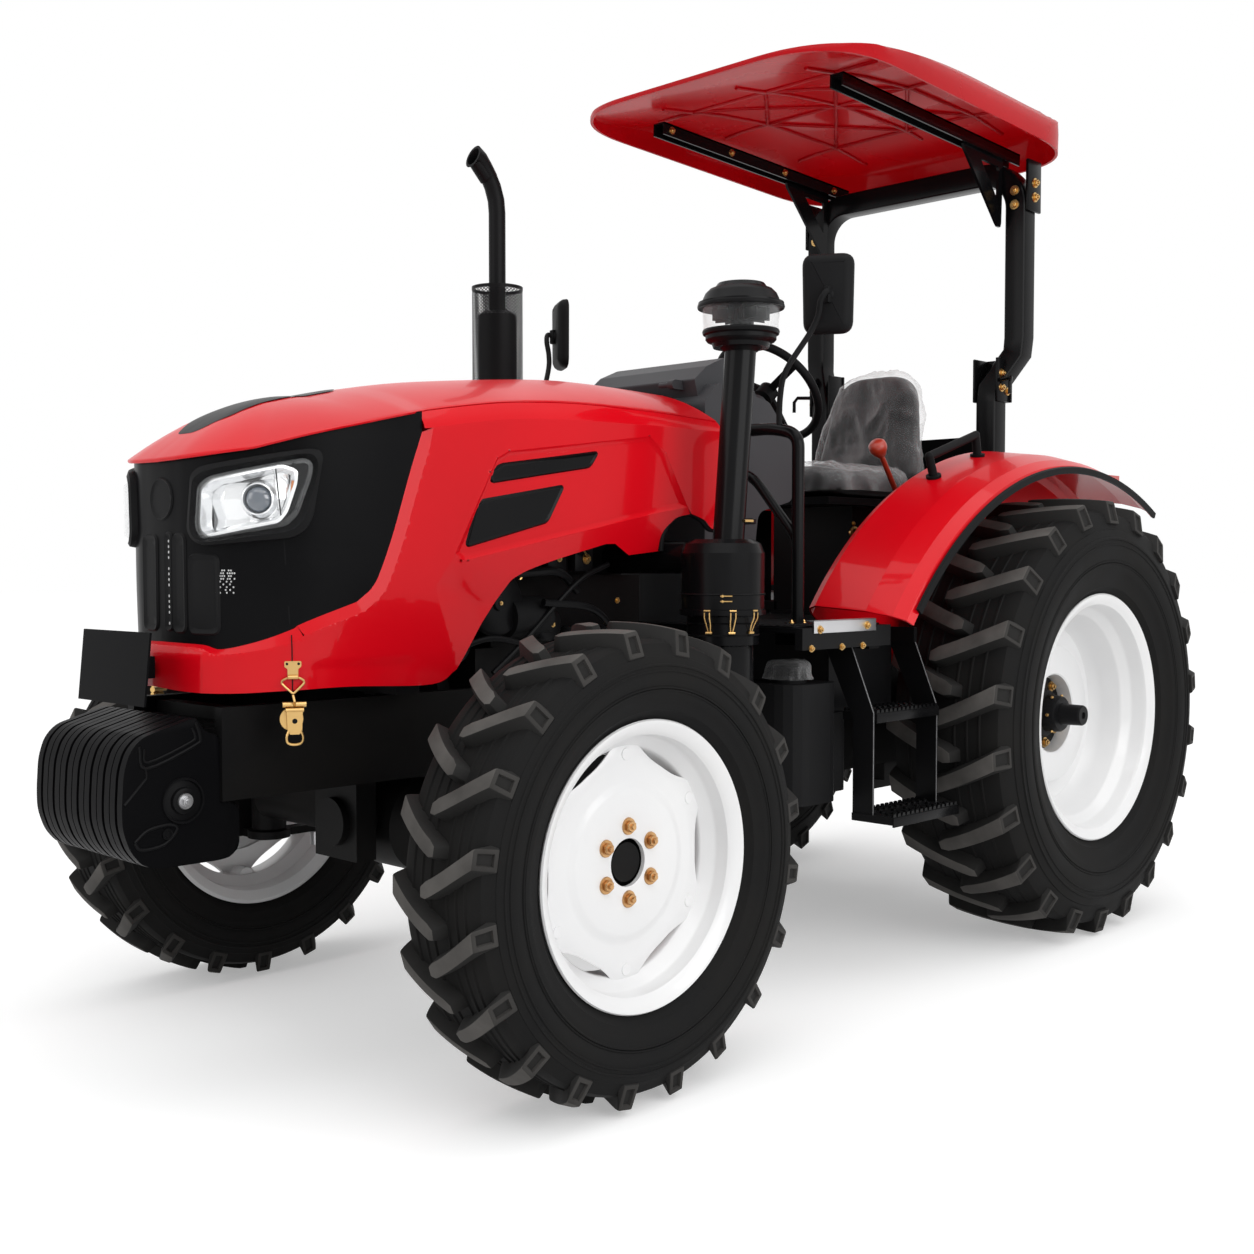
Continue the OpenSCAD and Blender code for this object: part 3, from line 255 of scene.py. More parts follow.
finishes = {
    "redPaint": {"color": (0.68, 0.0012, 0.008), "tint": (0.62, 0.0012, 0.007), "rough": 0.3,
                 "specular": 0.10, "coat": 0.22, "grain": 500, "bump": 0.006},
    "roofPlastic": {"color": (0.58, 0.003, 0.010), "tint": (0.50, 0.002, 0.008), "rough": 0.25,
                    "specular": 0.12, "coat": 0.14, "grain": 300, "bump": 0.01, "glow": (0.75, 0.006, 0.010),
                    "through": 0.28},
    "satinBlack": {"color": (0.0045, 0.0045, 0.005), "tint": (0.0065, 0.0065, 0.007), "rough": 0.34,
                   "specular": 0.08, "grain": 350, "bump": 0.04},
    "glossBlack": {"color": (0.0035, 0.0035, 0.004), "tint": (0.005, 0.005, 0.0055), "rough": 0.2,
                   "specular": 0.10, "grain": 300, "bump": 0.02},
    "castBlack": {"color": (0.0045, 0.0045, 0.005), "tint": (0.008, 0.0075, 0.007), "rough": 0.45,
                  "specular": 0.07, "grain": 160, "bump": 0.18},
    "moulded": {"color": (0.0075, 0.0075, 0.008), "tint": (0.0105, 0.0105, 0.011), "rough": 0.5,
                "specular": 0.07, "grain": 600, "bump": 0.12},
    "rimWhite": {"color": (0.80, 0.80, 0.80), "tint": (0.76, 0.76, 0.765), "rough": 0.3, "coat": 0.3,
                 "grain": 260, "bump": 0.02},
    "tyreRubber": {"color": (0.009, 0.009, 0.0092), "tint": (0.014, 0.0135, 0.013), "rough": 0.6,
                   "roughSpread": 0.2, "specular": 0.06, "grain": 220, "patch": 6, "bump": 0.25},
    "softRubber": {"color": (0.005, 0.005, 0.0055), "tint": (0.0075, 0.0075, 0.008), "rough": 0.5,
                   "specular": 0.07, "grain": 400, "bump": 0.1},
    "bareSteel": {"color": (0.55, 0.55, 0.56), "tint": (0.45, 0.45, 0.46), "rough": 0.3, "metal": 1.0,
                  "grain": 300, "bump": 0.08},
    "zincGold": {"color": (0.62, 0.40, 0.15), "tint": (0.50, 0.32, 0.13), "rough": 0.28, "metal": 1.0,
                 "grain": 200, "bump": 0.06},
    # clear lens and film: the white base colour is a painted sheen standing in for reflections, stronger
    # where the surface turns away
    "clearLens": {"color": (0.93, 0.95, 0.96), "tint": (0.90, 0.92, 0.93), "rough": 0.03, "roughSpread": 0.02,
                  "specular": 1.0, "bump": 0.0, "whiteSheen": 0.02, "edgeWhiteSheen": 0.22},
    "clearFilm": {"color": (0.92, 0.92, 0.93), "tint": (0.87, 0.87, 0.88), "rough": 0.1, "specular": 1.0,
                  "bump": 0.0, "whiteSheen": 0.02, "edgeWhiteSheen": 0.6, "turnAway": 0.28},
    "consoleGrey": {"color": (0.045, 0.046, 0.050), "tint": (0.055, 0.056, 0.060), "rough": 0.42,
                    "specular": 0.15, "grain": 600, "bump": 0.1},
    "leverOrange": {"color": (0.45, 0.035, 0.012), "tint": (0.36, 0.028, 0.012), "rough": 0.35, "coat": 0.3,
                    "bump": 0.03},
    "redLens": {"color": (0.5, 0.02, 0.01), "tint": (0.4, 0.02, 0.01), "rough": 0.1, "coat": 0.6,
                "bump": 0.01},
    "seatVinyl": {"color": (0.012, 0.0115, 0.012), "tint": (0.018, 0.0175, 0.018), "rough": 0.42,
                  "specular": 0.15, "grain": 500, "bump": 0.2},
    "noseBlack": {"color": (0.004, 0.004, 0.0045), "tint": (0.006, 0.006, 0.0065), "rough": 0.3,
                  "specular": 0.04, "grain": 400, "bump": 0.03},
    "chrome": {"color": (0.90, 0.91, 0.92), "tint": (0.82, 0.83, 0.84), "rough": 0.16, "metal": 0.75,
               "grain": 200, "bump": 0.02},
    "amber": {"color": (0.75, 0.25, 0.05), "tint": (0.65, 0.2, 0.04), "rough": 0.15, "coat": 0.5,
              "bump": 0.02},
    "mirrorGlass": {"color": (0.75, 0.77, 0.78), "tint": (0.72, 0.74, 0.75), "rough": 0.04,
                    "roughSpread": 0.02, "metal": 1.0, "bump": 0.0},
    "lugRubber": {"color": (0.055, 0.052, 0.049), "tint": (0.110, 0.104, 0.098),
                  "unworn": (0.020, 0.0195, 0.019), "rough": 0.6, "roughSpread": 0.2, "specular": 0.08,
                  "grain": 220, "patch": 9, "bump": 0.25},
    "nutBronze": {"color": (0.42, 0.23, 0.10), "tint": (0.55, 0.33, 0.15), "rough": 0.34, "metal": 1.0,
                  "grain": 200, "patch": 30, "bump": 0.08},
    "weightBlack": {"color": (0.0035, 0.0035, 0.004), "tint": (0.005, 0.005, 0.0055), "rough": 0.34,
                    "specular": 0.025, "grain": 200, "bump": 0.06},
    # grey strips on the black step edges: painted highlights where light catches the edges
    "edgeHighlight": {"color": (0.22, 0.22, 0.225), "tint": (0.14, 0.14, 0.145), "rough": 0.4, "metal": 0.6,
                 "patch": 40, "bump": 0.05},
    "projectorGlass": {"color": (0.05, 0.07, 0.10), "tint": (0.09, 0.11, 0.14), "rough": 0.03,
                       "roughSpread": 0.02, "specular": 0.9, "coat": 1.0, "bump": 0.0},
    "meshGlint": {"color": (0.62, 0.62, 0.62), "tint": (0.45, 0.45, 0.45), "rough": 0.5, "patch": 60,
                  "bump": 0.0},
}
finish = {name: makeFinish(name, look) for name, look in finishes.items()}

nodeFinish = {
    "redPaint": ["hood_shell", "bumper", "fenders"],
    "roofPlastic": ["canopy"],
    "glossBlack": ["front_weights", "air_cleaner", "muffler", "grille", "rops"],
    "castBlack": ["front_frame", "front_axle", "engine_block", "transmission", "rear_axle", "knuckle_left",
                  "knuckle_right", "lower_links", "lift_arms", "drawbar"],
    "satinBlack": ["platform", "steps", "controls", "handrails", "mirrors", "seat_base"],
    "moulded": ["engine_fittings", "fuel_tank"],
    "consoleGrey": ["console"],
    "weightBlack": ["number_plate"],
    "rimWhite": ["wheel_front_left", "wheel_front_right", "wheel_rear_left", "wheel_rear_right"],
    "tyreRubber": ["tyre_front_left", "tyre_front_right", "tyre_rear_left", "tyre_rear_right"],
    "softRubber": ["fender_trim", "steering_wheel"],
    "bareSteel": ["tie_rod", "lift_rods", "pto_shaft"],
    "clearLens": ["headlamps", "precleaner_bowl"],
    "redLens": ["tail_lamps"],
    "seatVinyl": ["seat_cushions"],
}
for name, group in nodeFinish.items():
    for node in group:
        data = nodes[node].data
        for k in range(max(1, len(data.materials))):
            if k < len(data.materials):
                data.materials[k] = finish[name]
            else:
                data.materials.append(finish[name])
print("finishes on the solids")


# building helpers, in the photograph's measure with the front axle at x = 0

def place(p):
    return Vector((p[0] + axleX, p[1], p[2]))


def ramp(v):   # held between 0 and 1
    return min(1, max(0, v))


def around(count):   # the angles of a full turn
    return [2 * math.pi * k / count for k in range(count)]


def addPiece(name, bm, look, body, sharp=38, replaced=(), paired=False):
    if paired:   # with a copy on the right side of the middle plane
        whole = bm.verts[:] + bm.edges[:] + bm.faces[:]
        bmesh.ops.mirror(bm, geom=whole, matrix=Matrix.Identity(4), axis="Y", merge_dist=1e-4)
    bmesh.ops.remove_doubles(bm, verts=bm.verts, dist=2e-5)
    bmesh.ops.recalc_face_normals(bm, faces=bm.faces)
    limit = math.radians(sharp)
    for face in bm.faces:
        face.smooth = True
    for edge in bm.edges:
        edge.smooth = len(edge.link_faces) != 2 or edge.calc_face_angle(0) < limit
    mesh = bpy.data.meshes.new(name)
    bm.to_mesh(mesh)
    bm.free()
    mesh.materials.append(finish[look])
    piece = bpy.data.objects.new(name, mesh)
    scene.collection.objects.link(piece)
    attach(piece, body)
    if replaced:
        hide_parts(*replaced)
    return piece


def axisFrame(direction):
    return Vector(direction).normalized().to_track_quat("Z", "Y").to_matrix()


def addRings(bm, rings, closed=True, caps=True):
    rows = [[bm.verts.new(p) for p in ring] for ring in rings]
    count = len(rows[0])
    for a, b in zip(rows, rows[1:]):
        for k in range(count if closed else count - 1):
            n = (k + 1) % count
            bm.faces.new((a[k], a[n], b[n], b[k]))
    if caps and closed:
        bm.faces.new(rows[0][::-1])
        bm.faces.new(rows[-1])


def addTube(bm, path, radius, sides=14):
    points = [place(p) for p in path]
    radii = radius if isinstance(radius, (list, tuple)) else [radius] * len(points)
    rings = []
    side = None
    for k, p in enumerate(points):
        ahead = (points[min(k + 1, len(points) - 1)] - points[max(k - 1, 0)]).normalized()
        if side is None:
            side = ahead.orthogonal().normalized()
        side = (side - ahead * side.dot(ahead)).normalized()
        up = ahead.cross(side)
        rings.append([p + (side * math.cos(t) + up * math.sin(t)) * radii[k] for t in around(sides)])
    addRings(bm, rings)


def spin(profile, origin, direction, steps):   # rings of a profile of radius and height
    turn, base = axisFrame(direction), place(origin)
    return [[base + turn @ Vector((max(r, 1e-4) * math.cos(t), max(r, 1e-4) * math.sin(t), h))
             for t in around(steps)]
            for r, h in profile]


def addLathe(bm, profile, origin, direction=(0, 0, 1), steps=48):
    addRings(bm, spin(profile, origin, direction, steps))


def addBlock(bm, lo, hi, soft=0.0, turn=None, about=None):
    made = bmesh.ops.create_cube(bm, size=1.0)["verts"]
    lo, hi = place(lo), place(hi)
    for v in made:
        v.co = Vector([lo[i] + (v.co[i] + 0.5) * (hi[i] - lo[i]) for i in range(3)])
    if turn is not None:
        centre = place(about) if about else (lo + hi) / 2
        bmesh.ops.rotate(bm, verts=made, cent=centre, matrix=turn)
    if soft:
        edges = list(dict.fromkeys(e for v in made for e in v.link_edges))
        bmesh.ops.bevel(bm, geom=edges, offset=soft, segments=2, profile=0.5, affect="EDGES", material=-1)


def addPlate(bm, outline, across, a0, a1, soft=0.0):   # a flat outline drawn out along x, y or z
    def spot(p, a):
        return place({"x": (a, p[0], p[1]), "y": (p[0], a, p[1]), "z": (p[0], p[1], a)}[across])
    low = [bm.verts.new(spot(p, a0)) for p in outline]
    high = [bm.verts.new(spot(p, a1)) for p in outline]
    count = len(outline)
    faces = [bm.faces.new(low[::-1]), bm.faces.new(high)]
    faces += [bm.faces.new((low[k], low[(k + 1) % count], high[(k + 1) % count], high[k]))
              for k in range(count)]
    if soft:
        edges = list(dict.fromkeys(e for f in faces[:2] for e in f.edges))
        bmesh.ops.bevel(bm, geom=edges, offset=soft, segments=2, profile=0.5, affect="EDGES", material=-1)


def addBolt(bm, spot, direction, size, washer=True):
    turn = axisFrame(direction).to_4x4()
    base = Matrix.Translation(place(spot)) @ turn
    if washer:
        bmesh.ops.create_cone(bm, cap_ends=True, segments=20, radius1=size * 1.5, radius2=size * 1.42,
                              depth=size * 0.3,
                              matrix=base @ Matrix.Translation((0, 0, size * 0.15)))
    head = bmesh.ops.create_cone(bm, cap_ends=True, segments=6, radius1=size, radius2=size, depth=size * 0.8,
                                 matrix=base @ Matrix.Translation((0, 0, size * 0.68)))["verts"]
    rim = list(dict.fromkeys(e for v in head for e in v.link_edges))
    bmesh.ops.bevel(bm, geom=rim, offset=size * 0.08, segments=1, profile=0.5, affect="EDGES", material=-1)
    bmesh.ops.create_cone(bm, cap_ends=True, segments=14, radius1=size * 0.5, radius2=size * 0.42,
                          depth=size * 0.5,
                          matrix=base @ Matrix.Translation((0, 0, size * 1.25)))


def rounded(points, radius, steps=5):   # a flat outline with its corners rounded
    line = [Vector(p) for p in points]
    out = []
    for k, p in enumerate(line):
        a, b = line[k - 1] - p, line[(k + 1) % len(line)] - p
        back = min(radius, a.length * 0.45, b.length * 0.45)
        start, end = p + a.normalized() * back, p + b.normalized() * back
        for i in range(steps + 1):
            t = i / steps
            out.append(tuple(start * (1 - t) ** 2 + p * 2 * t * (1 - t) + end * t * t))
    return out


def inset(points, amount):   # a flat closed outline moved inward, or outward if below zero
    line = [Vector(p) for p in points]
    area = sum(a.x * b.y - b.x * a.y for a, b in zip(line, line[1:] + line[:1]))
    sign = 1 if area > 0 else -1
    out = []
    for k, p in enumerate(line):
        a = (p - line[k - 1]).normalized()
        b = (line[(k + 1) % len(line)] - p).normalized()
        n = Vector((-a.y - b.y, a.x + b.x)) * sign
        scale = amount / max(0.35, n.length / 2) if n.length else 0
        out.append(tuple(p + n.normalized() * scale) if n.length else tuple(p))
    return out


def smoothLine(points, count=12):   # a smooth run through the points
    line = [Vector(p) for p in points]
    line = [line[0] * 2 - line[1]] + line + [line[-1] * 2 - line[-2]]
    out = []
    for p, q, r, s in zip(line, line[1:], line[2:], line[3:]):
        for k in range(count):
            t = k / count
            spot = q * 2 + (r - p) * t + (p * 2 - q * 5 + r * 4 - s) * t * t
            out.append(tuple((spot + (q * 3 - p - r * 3 + s) * t ** 3) / 2))
    return out + [tuple(line[-2])]


def resample(outline, count):
    ring = [Vector(p) for p in outline] + [Vector(outline[0])]
    runs = [0.0]
    for a, b in zip(ring, ring[1:]):
        runs.append(runs[-1] + (b - a).length)
    spots = [runs[-1] * k / count for k in range(count)]
    return [(float(numpy.interp(s, runs, [p.x for p in ring])),
             float(numpy.interp(s, runs, [p.y for p in ring]))) for s in spots]


def inside(x, y, outline):
    hits = 0
    for (ax, ay), (bx, by) in zip(outline, outline[1:] + outline[:1]):
        if (ay > y) != (by > y) and x < ax + (y - ay) * (bx - ax) / (by - ay):
            hits += 1
    return hits % 2 == 1


def addSheet(bm, outline, spot, step=0.012,
             hole=None):   # an outline filled, cut into small cells and bent onto a surface
    flat = bmesh.new()
    ring = [flat.verts.new((p[0], p[1], 0)) for p in outline]
    edges = [flat.edges.new((a, b)) for a, b in zip(ring, ring[1:] + ring[:1])]
    bmesh.ops.triangle_fill(flat, use_beauty=True, use_dissolve=False, edges=edges)
    for axis in (0, 1):
        low = min(v.co[axis] for v in flat.verts)
        high = max(v.co[axis] for v in flat.verts)
        normal = Vector((1, 0, 0)) if axis == 0 else Vector((0, 1, 0))
        for k in range(math.ceil(low / step), math.floor(high / step) + 1):
            bmesh.ops.bisect_plane(flat, geom=flat.verts[:] + flat.edges[:] + flat.faces[:], dist=1e-6,
                                   plane_co=normal * (k * step), plane_no=normal)
    made = {v: bm.verts.new(spot(v.co.x, v.co.y)) for v in flat.verts}
    for face in flat.faces:
        middle = face.calc_center_median()
        if hole is None or not inside(middle.x, middle.y, hole):
            bm.faces.new([made[v] for v in face.verts])
    for v in [v for v in made.values() if not v.link_faces]:
        bm.verts.remove(v)
    flat.free()


def addBand(bm, first, second, spotA, spotB, closed=True):   # a strip between two outlines of equal count
    a = [bm.verts.new(spotA(*p)) for p in first]
    b = [bm.verts.new(spotB(*p)) for p in second]
    for k in range(len(a) if closed else len(a) - 1):
        n = (k + 1) % len(a)
        bm.faces.new((a[k], a[n], b[n], b[k]))


def bendLine(points, radius, steps=5):   # an open run in space with its corners rounded
    line = [Vector(p) for p in points]
    out = [line[0]]
    for a, p, b in zip(line, line[1:], line[2:]):
        back, ahead = a - p, b - p
        reach = min(radius, back.length * 0.48, ahead.length * 0.48)
        start, end = p + back.normalized() * reach, p + ahead.normalized() * reach
        out += [start * (1 - t) ** 2 + p * 2 * t * (1 - t) + end * t * t
                for t in (k / steps for k in range(steps + 1))]
    return out + [line[-1]]


# hood: s runs along the plan line from the middle of the nose to the rear, z is height

hood = {
    "lampHole": [(0.146, 1.408), (0.174, 1.428), (0.408, 1.469), (0.430, 1.460), (0.432, 1.440),
                 (0.404, 1.328), (0.385, 1.300), (0.366, 1.290), (0.170, 1.266), (0.145, 1.280),
                 (0.135, 1.308)],
    "plan": [(0.697, 0), (0.695, 0.06), (0.688, 0.12), (0.662, 0.185), (0.625, 0.24), (0.56, 0.305),
             (0.48, 0.348),
             (0.38, 0.368), (0.2, 0.374), (0, 0.375), (-0.4, 0.374), (-0.87, 0.37)],
    "edge": [(0, 1.460), (0.128, 1.464), (0.272, 1.479), (0.332, 1.492), (0.414, 1.514), (0.523, 1.541),
             (0.71, 1.584),
             (0.933, 1.621), (1.092, 1.636), (1.272, 1.644), (1.546, 1.643), (1.73, 1.637), (1.793, 1.635)],
    "crown": [(-0.9, 1.738), (-0.6, 1.744), (-0.37, 1.735), (0.0, 1.695), (0.2, 1.661), (0.35, 1.628)],
    "shoulder": [(0.717, 1.539), (0.933, 1.573), (1.12, 1.589), (1.435, 1.597), (1.793, 1.6)],
    "panelRear": [(0.71, 1.531), (0.675, 1.435), (0.627, 1.29), (0.587, 1.193), (0.565, 1.161),
                  (0.529, 1.134),
                  (0.451, 1.108), (0.388, 1.084), (0.369, 1.073), (0.288, 1.046), (0.202, 1.029),
                  (0.148, 1.039), (0, 1.042)],
    "lower": [(0, 0.940), (0.201, 0.930), (0.358, 0.936), (0.515, 0.940), (0.747, 0.933), (0.818, 0.965)],
    "crease": [(0.803, 1.246), (0.747, 1.172), (0.747, 1.152), (0.818, 0.965)],
    "arch": [(0.841, 0.991), (0.966, 1.149), (1.013, 1.191), (1.12, 1.226), (1.323, 1.274), (1.36, 1.275),
             (1.42, 1.245),
             (1.546, 1.257), (1.554, 1.304), (1.594, 1.347), (1.658, 1.362)],
    "notch": [(1.658, 1.362), (1.714, 1.346), (1.746, 1.323), (1.793, 1.318)],
    "swoosh": [(0.803, 1.246), (0.913, 1.445), (0.933, 1.481), (0.971, 1.5), (1.482, 1.568), (1.546, 1.528),
               (1.642, 1.38),
               (1.538, 1.365), (0.844, 1.231), (0.821, 1.231)],
    "vents": [[(0.918, 1.446), (0.954, 1.466), (1.294, 1.515), (1.264, 1.476), (0.923, 1.422)],
              [(0.878, 1.365), (0.895, 1.376), (1.17, 1.422), (1.113, 1.329), (0.844, 1.263)]],
    "strip": [(0.62, 0.04), (0.55, 0.085), (0.27, 0.085), (0.235, 0.05), (0.235, -0.05), (0.27, -0.085),
              (0.55, -0.085),
              (0.62, -0.04)],
    "panelDepth": 0.011, "swooshDepth": 0.011, "shoulderIn": 0.026, "bevel": 0.026, "poleX": 0.35,
}


def makeLine(points):
    dense = smoothLine(points)
    xs = [p[0] for p in dense]
    return lambda s: float(numpy.interp(s, xs, [p[1] for p in dense]))


planDense = smoothLine([(0.695, -0.06)] + hood["plan"], 24)[24:]
planRun = [0.0]
for one, two in zip(planDense, planDense[1:]):
    planRun.append(planRun[-1] + math.dist(one, two))
planX, planY = [p[0] for p in planDense], [p[1] for p in planDense]
hoodEnd = planRun[-1]
edgeLine, shoulderLine = makeLine(hood["edge"]), makeLine(hood["shoulder"])
crownLine = makeLine(hood["crown"])


def planPoint(s):
    x, y = (float(numpy.interp(abs(s), planRun, line)) for line in (planX, planY))
    a, b = (max(0.0, abs(s) - 0.01), min(hoodEnd, abs(s) + 0.01))
    tx = float(numpy.interp(b, planRun, planX) - numpy.interp(a, planRun, planX))
    ty = float(numpy.interp(b, planRun, planY) - numpy.interp(a, planRun, planY))
    size = math.hypot(tx, ty)
    side = 1 if s >= 0 else -1
    return x, y * side, ty / size, -tx / size * side


def skinSpot(s, z, out=0.0):
    x, y, nx, ny = planPoint(s)
    bulge = -0.022 * ((1.25 - z) / 0.32) ** 2 if z < 1.25 else 0.004 * min(1, (z - 1.25) / 0.25)
    bulge *= min(1, abs(s) / 0.5)
    return place((x + nx * (out + bulge), y + ny * (out + bulge), z))


def atDepth(depth):
    return lambda s, z: skinSpot(s, z, depth)


def lipIn(s):
    return -hood["shoulderIn"] * ramp((s - 0.66) / 0.07) + 0.004 * (1 - ramp((s - 0.66) / 0.07))


def topSpot(s, t, lift=0.0):   # t from the cover's edge to its ridge
    x, y, nx, ny = planPoint(s)
    x, y = x + nx * lipIn(abs(s)), y + ny * lipIn(abs(s))
    pole = hood["poleX"] if x > hood["poleX"] else x
    low, high = edgeLine(abs(s)), crownLine(pole)
    power = 2.0 if x < hood["poleX"] else 2.0 - 0.2 * min(1, (x - hood["poleX"]) / 0.2)
    return place((x + (pole - x) * t, y * (1 - t), low + (high - low) * (1 - (1 - t) ** power) + lift))


def makeHood(look):
    bevel = look["bevel"]
    panelEdge = smoothLine(look["panelRear"][:5], 4) + smoothLine(look["panelRear"][5:], 6)
    outerEdge = []
    for k, p in enumerate(panelEdge):
        a, b = Vector(panelEdge[max(k - 1, 0)]), Vector(panelEdge[min(k + 1, len(panelEdge) - 1)])
        n = Vector((-(b - a).y, (b - a).x)).normalized()
        wide = bevel * min(1, max(0.25, (p[0] - 0.1) / 0.25))
        outerEdge.append((max(0, p[0] + n.x * wide) if p[0] > 0.01 else 0, p[1] + n.y * wide))
    outerEdge[0] = (0.735, shoulderLine(0.735))
    lower = smoothLine(look["lower"], 6)
    crease, swoosh = look["crease"], look["swoosh"]
    arch = smoothLine(look["arch"][:5], 5) + look["arch"][5:7] + smoothLine(look["arch"][7:], 5)
    notch = smoothLine(look["notch"], 5)
    shoulder = [(s, shoulderLine(s)) for s in numpy.linspace(0.735, hoodEnd, 60)]

    def skinOut(s, z):   # the bumper stands proud, its corner is chamfered
        front = ramp((0.215 - s) / 0.05) * ramp((1.038 - z) / 0.022)
        band = ramp((1.0 - z) / 0.012) * ramp((s - 0.40) / 0.03) * ramp((0.70 - s) / 0.03)
        return 0.013 * front - 0.004 * band

    bm = bmesh.new()
    upper = shoulder + notch[::-1] + swoosh[6::-1] + crease[1:] + lower[-2::-1] + outerEdge[::-1]
    addSheet(bm, upper, lambda s, z: skinSpot(s, z, skinOut(s, z)), 0.011)
    rearEdge = crease[::-1] + swoosh[-1:5:-1] + arch[::-1]
    guide = [Vector(p) for p in crease[::-1] + swoosh[-1:5:-1]]

    def tuck(s, z):
        spot = Vector((s, z))
        gaps = []
        for a, b in zip(guide, guide[1:]):
            t = ramp((spot - a).dot(b - a) / (b - a).length_squared)
            gaps.append((spot - a - (b - a) * t).length)
        return -0.02 * min(1, min(gaps) / 0.12)
    addSheet(bm, rearEdge, lambda s, z: skinSpot(s, z, tuck(s, z)), 0.011)
    deep = inset(swoosh, 0.016)
    addBand(bm, swoosh, deep, skinSpot, atDepth(-look["swooshDepth"]))
    addSheet(bm, deep, atDepth(-look["swooshDepth"]), 0.02)
    addBand(bm, outerEdge, panelEdge, lambda s, z: skinSpot(s, z, skinOut(s, z)),
            atDepth(-look["panelDepth"]), closed=False)
    for s0, s1 in zip(numpy.linspace(0.71, hoodEnd, 91), numpy.linspace(0.71, hoodEnd, 91)[1:]):
        rows = []
        for s in (s0, s1):
            high = edgeLine(s) - 0.006
            rows.append([bm.verts.new(skinSpot(s, shoulderLine(s) + (high - shoulderLine(s)) * t,
                                               -(look["shoulderIn"] - 0.002) * t ** 1.3))
                                               for t in (0, 0.25, 0.5, 0.75, 1)])
        for k in range(4):
            bm.faces.new((rows[0][k], rows[1][k], rows[1][k + 1], rows[0][k + 1]))
    addPiece("hoodSkin", bm, "redPaint", "hood", sharp=24, replaced=("hood_shell", "bumper"), paired=True)

    bm = bmesh.new()
    along = list(numpy.linspace(0, 0.5, 46)) + list(numpy.linspace(0.5, hoodEnd, 90))[1:]
    turns = [0, 0.012, 0.03, 0.06, 0.1, 0.16, 0.24, 0.34, 0.46, 0.6, 0.76, 0.9, 1.0]
    rows = []
    for s in along:
        hem = [skinSpot(s, edgeLine(s) - 0.006, lipIn(s) - 0.012),
               skinSpot(s, edgeLine(s) - 0.007, lipIn(s) - 0.002)]
        hem += [skinSpot(s, edgeLine(s) - 0.003, lipIn(s))]
        rows.append([bm.verts.new(p) for p in hem + [topSpot(s, t) for t in turns]])
    for a, b in zip(rows, rows[1:]):
        for k in range(len(a) - 1):
            bm.faces.new((a[k], b[k], b[k + 1], a[k + 1]))
    addPiece("hoodCover", bm, "redPaint", "hood", sharp=60, paired=True)

    bm = bmesh.new()   # black nose and side panel
    top = [(s, edgeLine(s) - 0.004) for s in numpy.linspace(0, 0.71, 50)]
    addSheet(bm, top + panelEdge, atDepth(-look["panelDepth"]), 0.012, look["lampHole"])
    addPiece("nosePanel", bm, "noseBlack", "hood", sharp=30, replaced=("grille",), paired=True)

    bm = bmesh.new()
    for vent in look["vents"]:
        ring = rounded(vent, 0.014)
        rim = inset(ring, -0.004)
        addBand(bm, rim, ring, atDepth(-look["swooshDepth"]), atDepth(0.004 - look["swooshDepth"]))
        inner = inset(ring, 0.006)
        addBand(bm, ring, inner, atDepth(0.004 - look["swooshDepth"]),
                atDepth(0.001 - look["swooshDepth"]))
        addSheet(bm, inner, atDepth(0.001 - look["swooshDepth"]), 0.02)
    addPiece("hoodVents", bm, "glossBlack", "hood", paired=True)

    bm = bmesh.new()   # rubber trim along the arch and the notch
    hemLine = smoothLine(look["arch"][7:] + look["notch"][1:], 6)
    edge = [skinSpot(s, z, -0.014) - axleShift for s, z in hemLine]
    addTube(bm, edge, 0.008, 10)
    addPiece("hoodTrim", bm, "softRubber", "hood", paired=True)

    bm = bmesh.new()   # dark strip on the ridge near the nose
    strip = rounded(look["strip"], 0.02)

    def onCover(x, y):
        if x > look["poleX"]:
            turn = math.atan2(abs(y), x - look["poleX"])
            angles = [math.atan2(planPoint(s)[1], max(1e-4, planPoint(s)[0] - look["poleX"]))
                      for s in along[:60]]
            s = float(numpy.interp(turn, angles, along[:60]))
            reach = math.hypot(planPoint(s)[0] - look["poleX"], planPoint(s)[1])
            t = 1 - math.hypot(x - look["poleX"], y) / reach
        else:
            s = float(numpy.interp(-x, [-v for v in planX[60:]], planRun[60:]))
            t = 1 - abs(y) / planPoint(s)[1]
        height = topSpot(s, t).z
        return place((x, y, height + 0.0025))
    addSheet(bm, strip, onCover, 0.012)
    addPiece("hoodStrip", bm, "noseBlack", "hood")


makeHood(hood)
print("hood made")


# tyres and wheels

tyres = {
    "front": {"x": 0.0, "y": 0.79, "r": 0.545, "w": 0.284, "rim": 0.330, "rimW": 0.2272, "lug": 0.031,
              "count": 20,
              "sweep": 9.0, "wide": 0.037, "phase": 1.0, "past": 0.06},
    "rear": {"x": -2.18, "y": 0.715, "r": 0.720, "w": 0.425, "rim": 0.406, "rimW": 0.3485, "lug": 0.038,
             "count": 22,
             "sweep": 8.0, "wide": 0.048, "phase": 1.7, "past": 0.11},
}


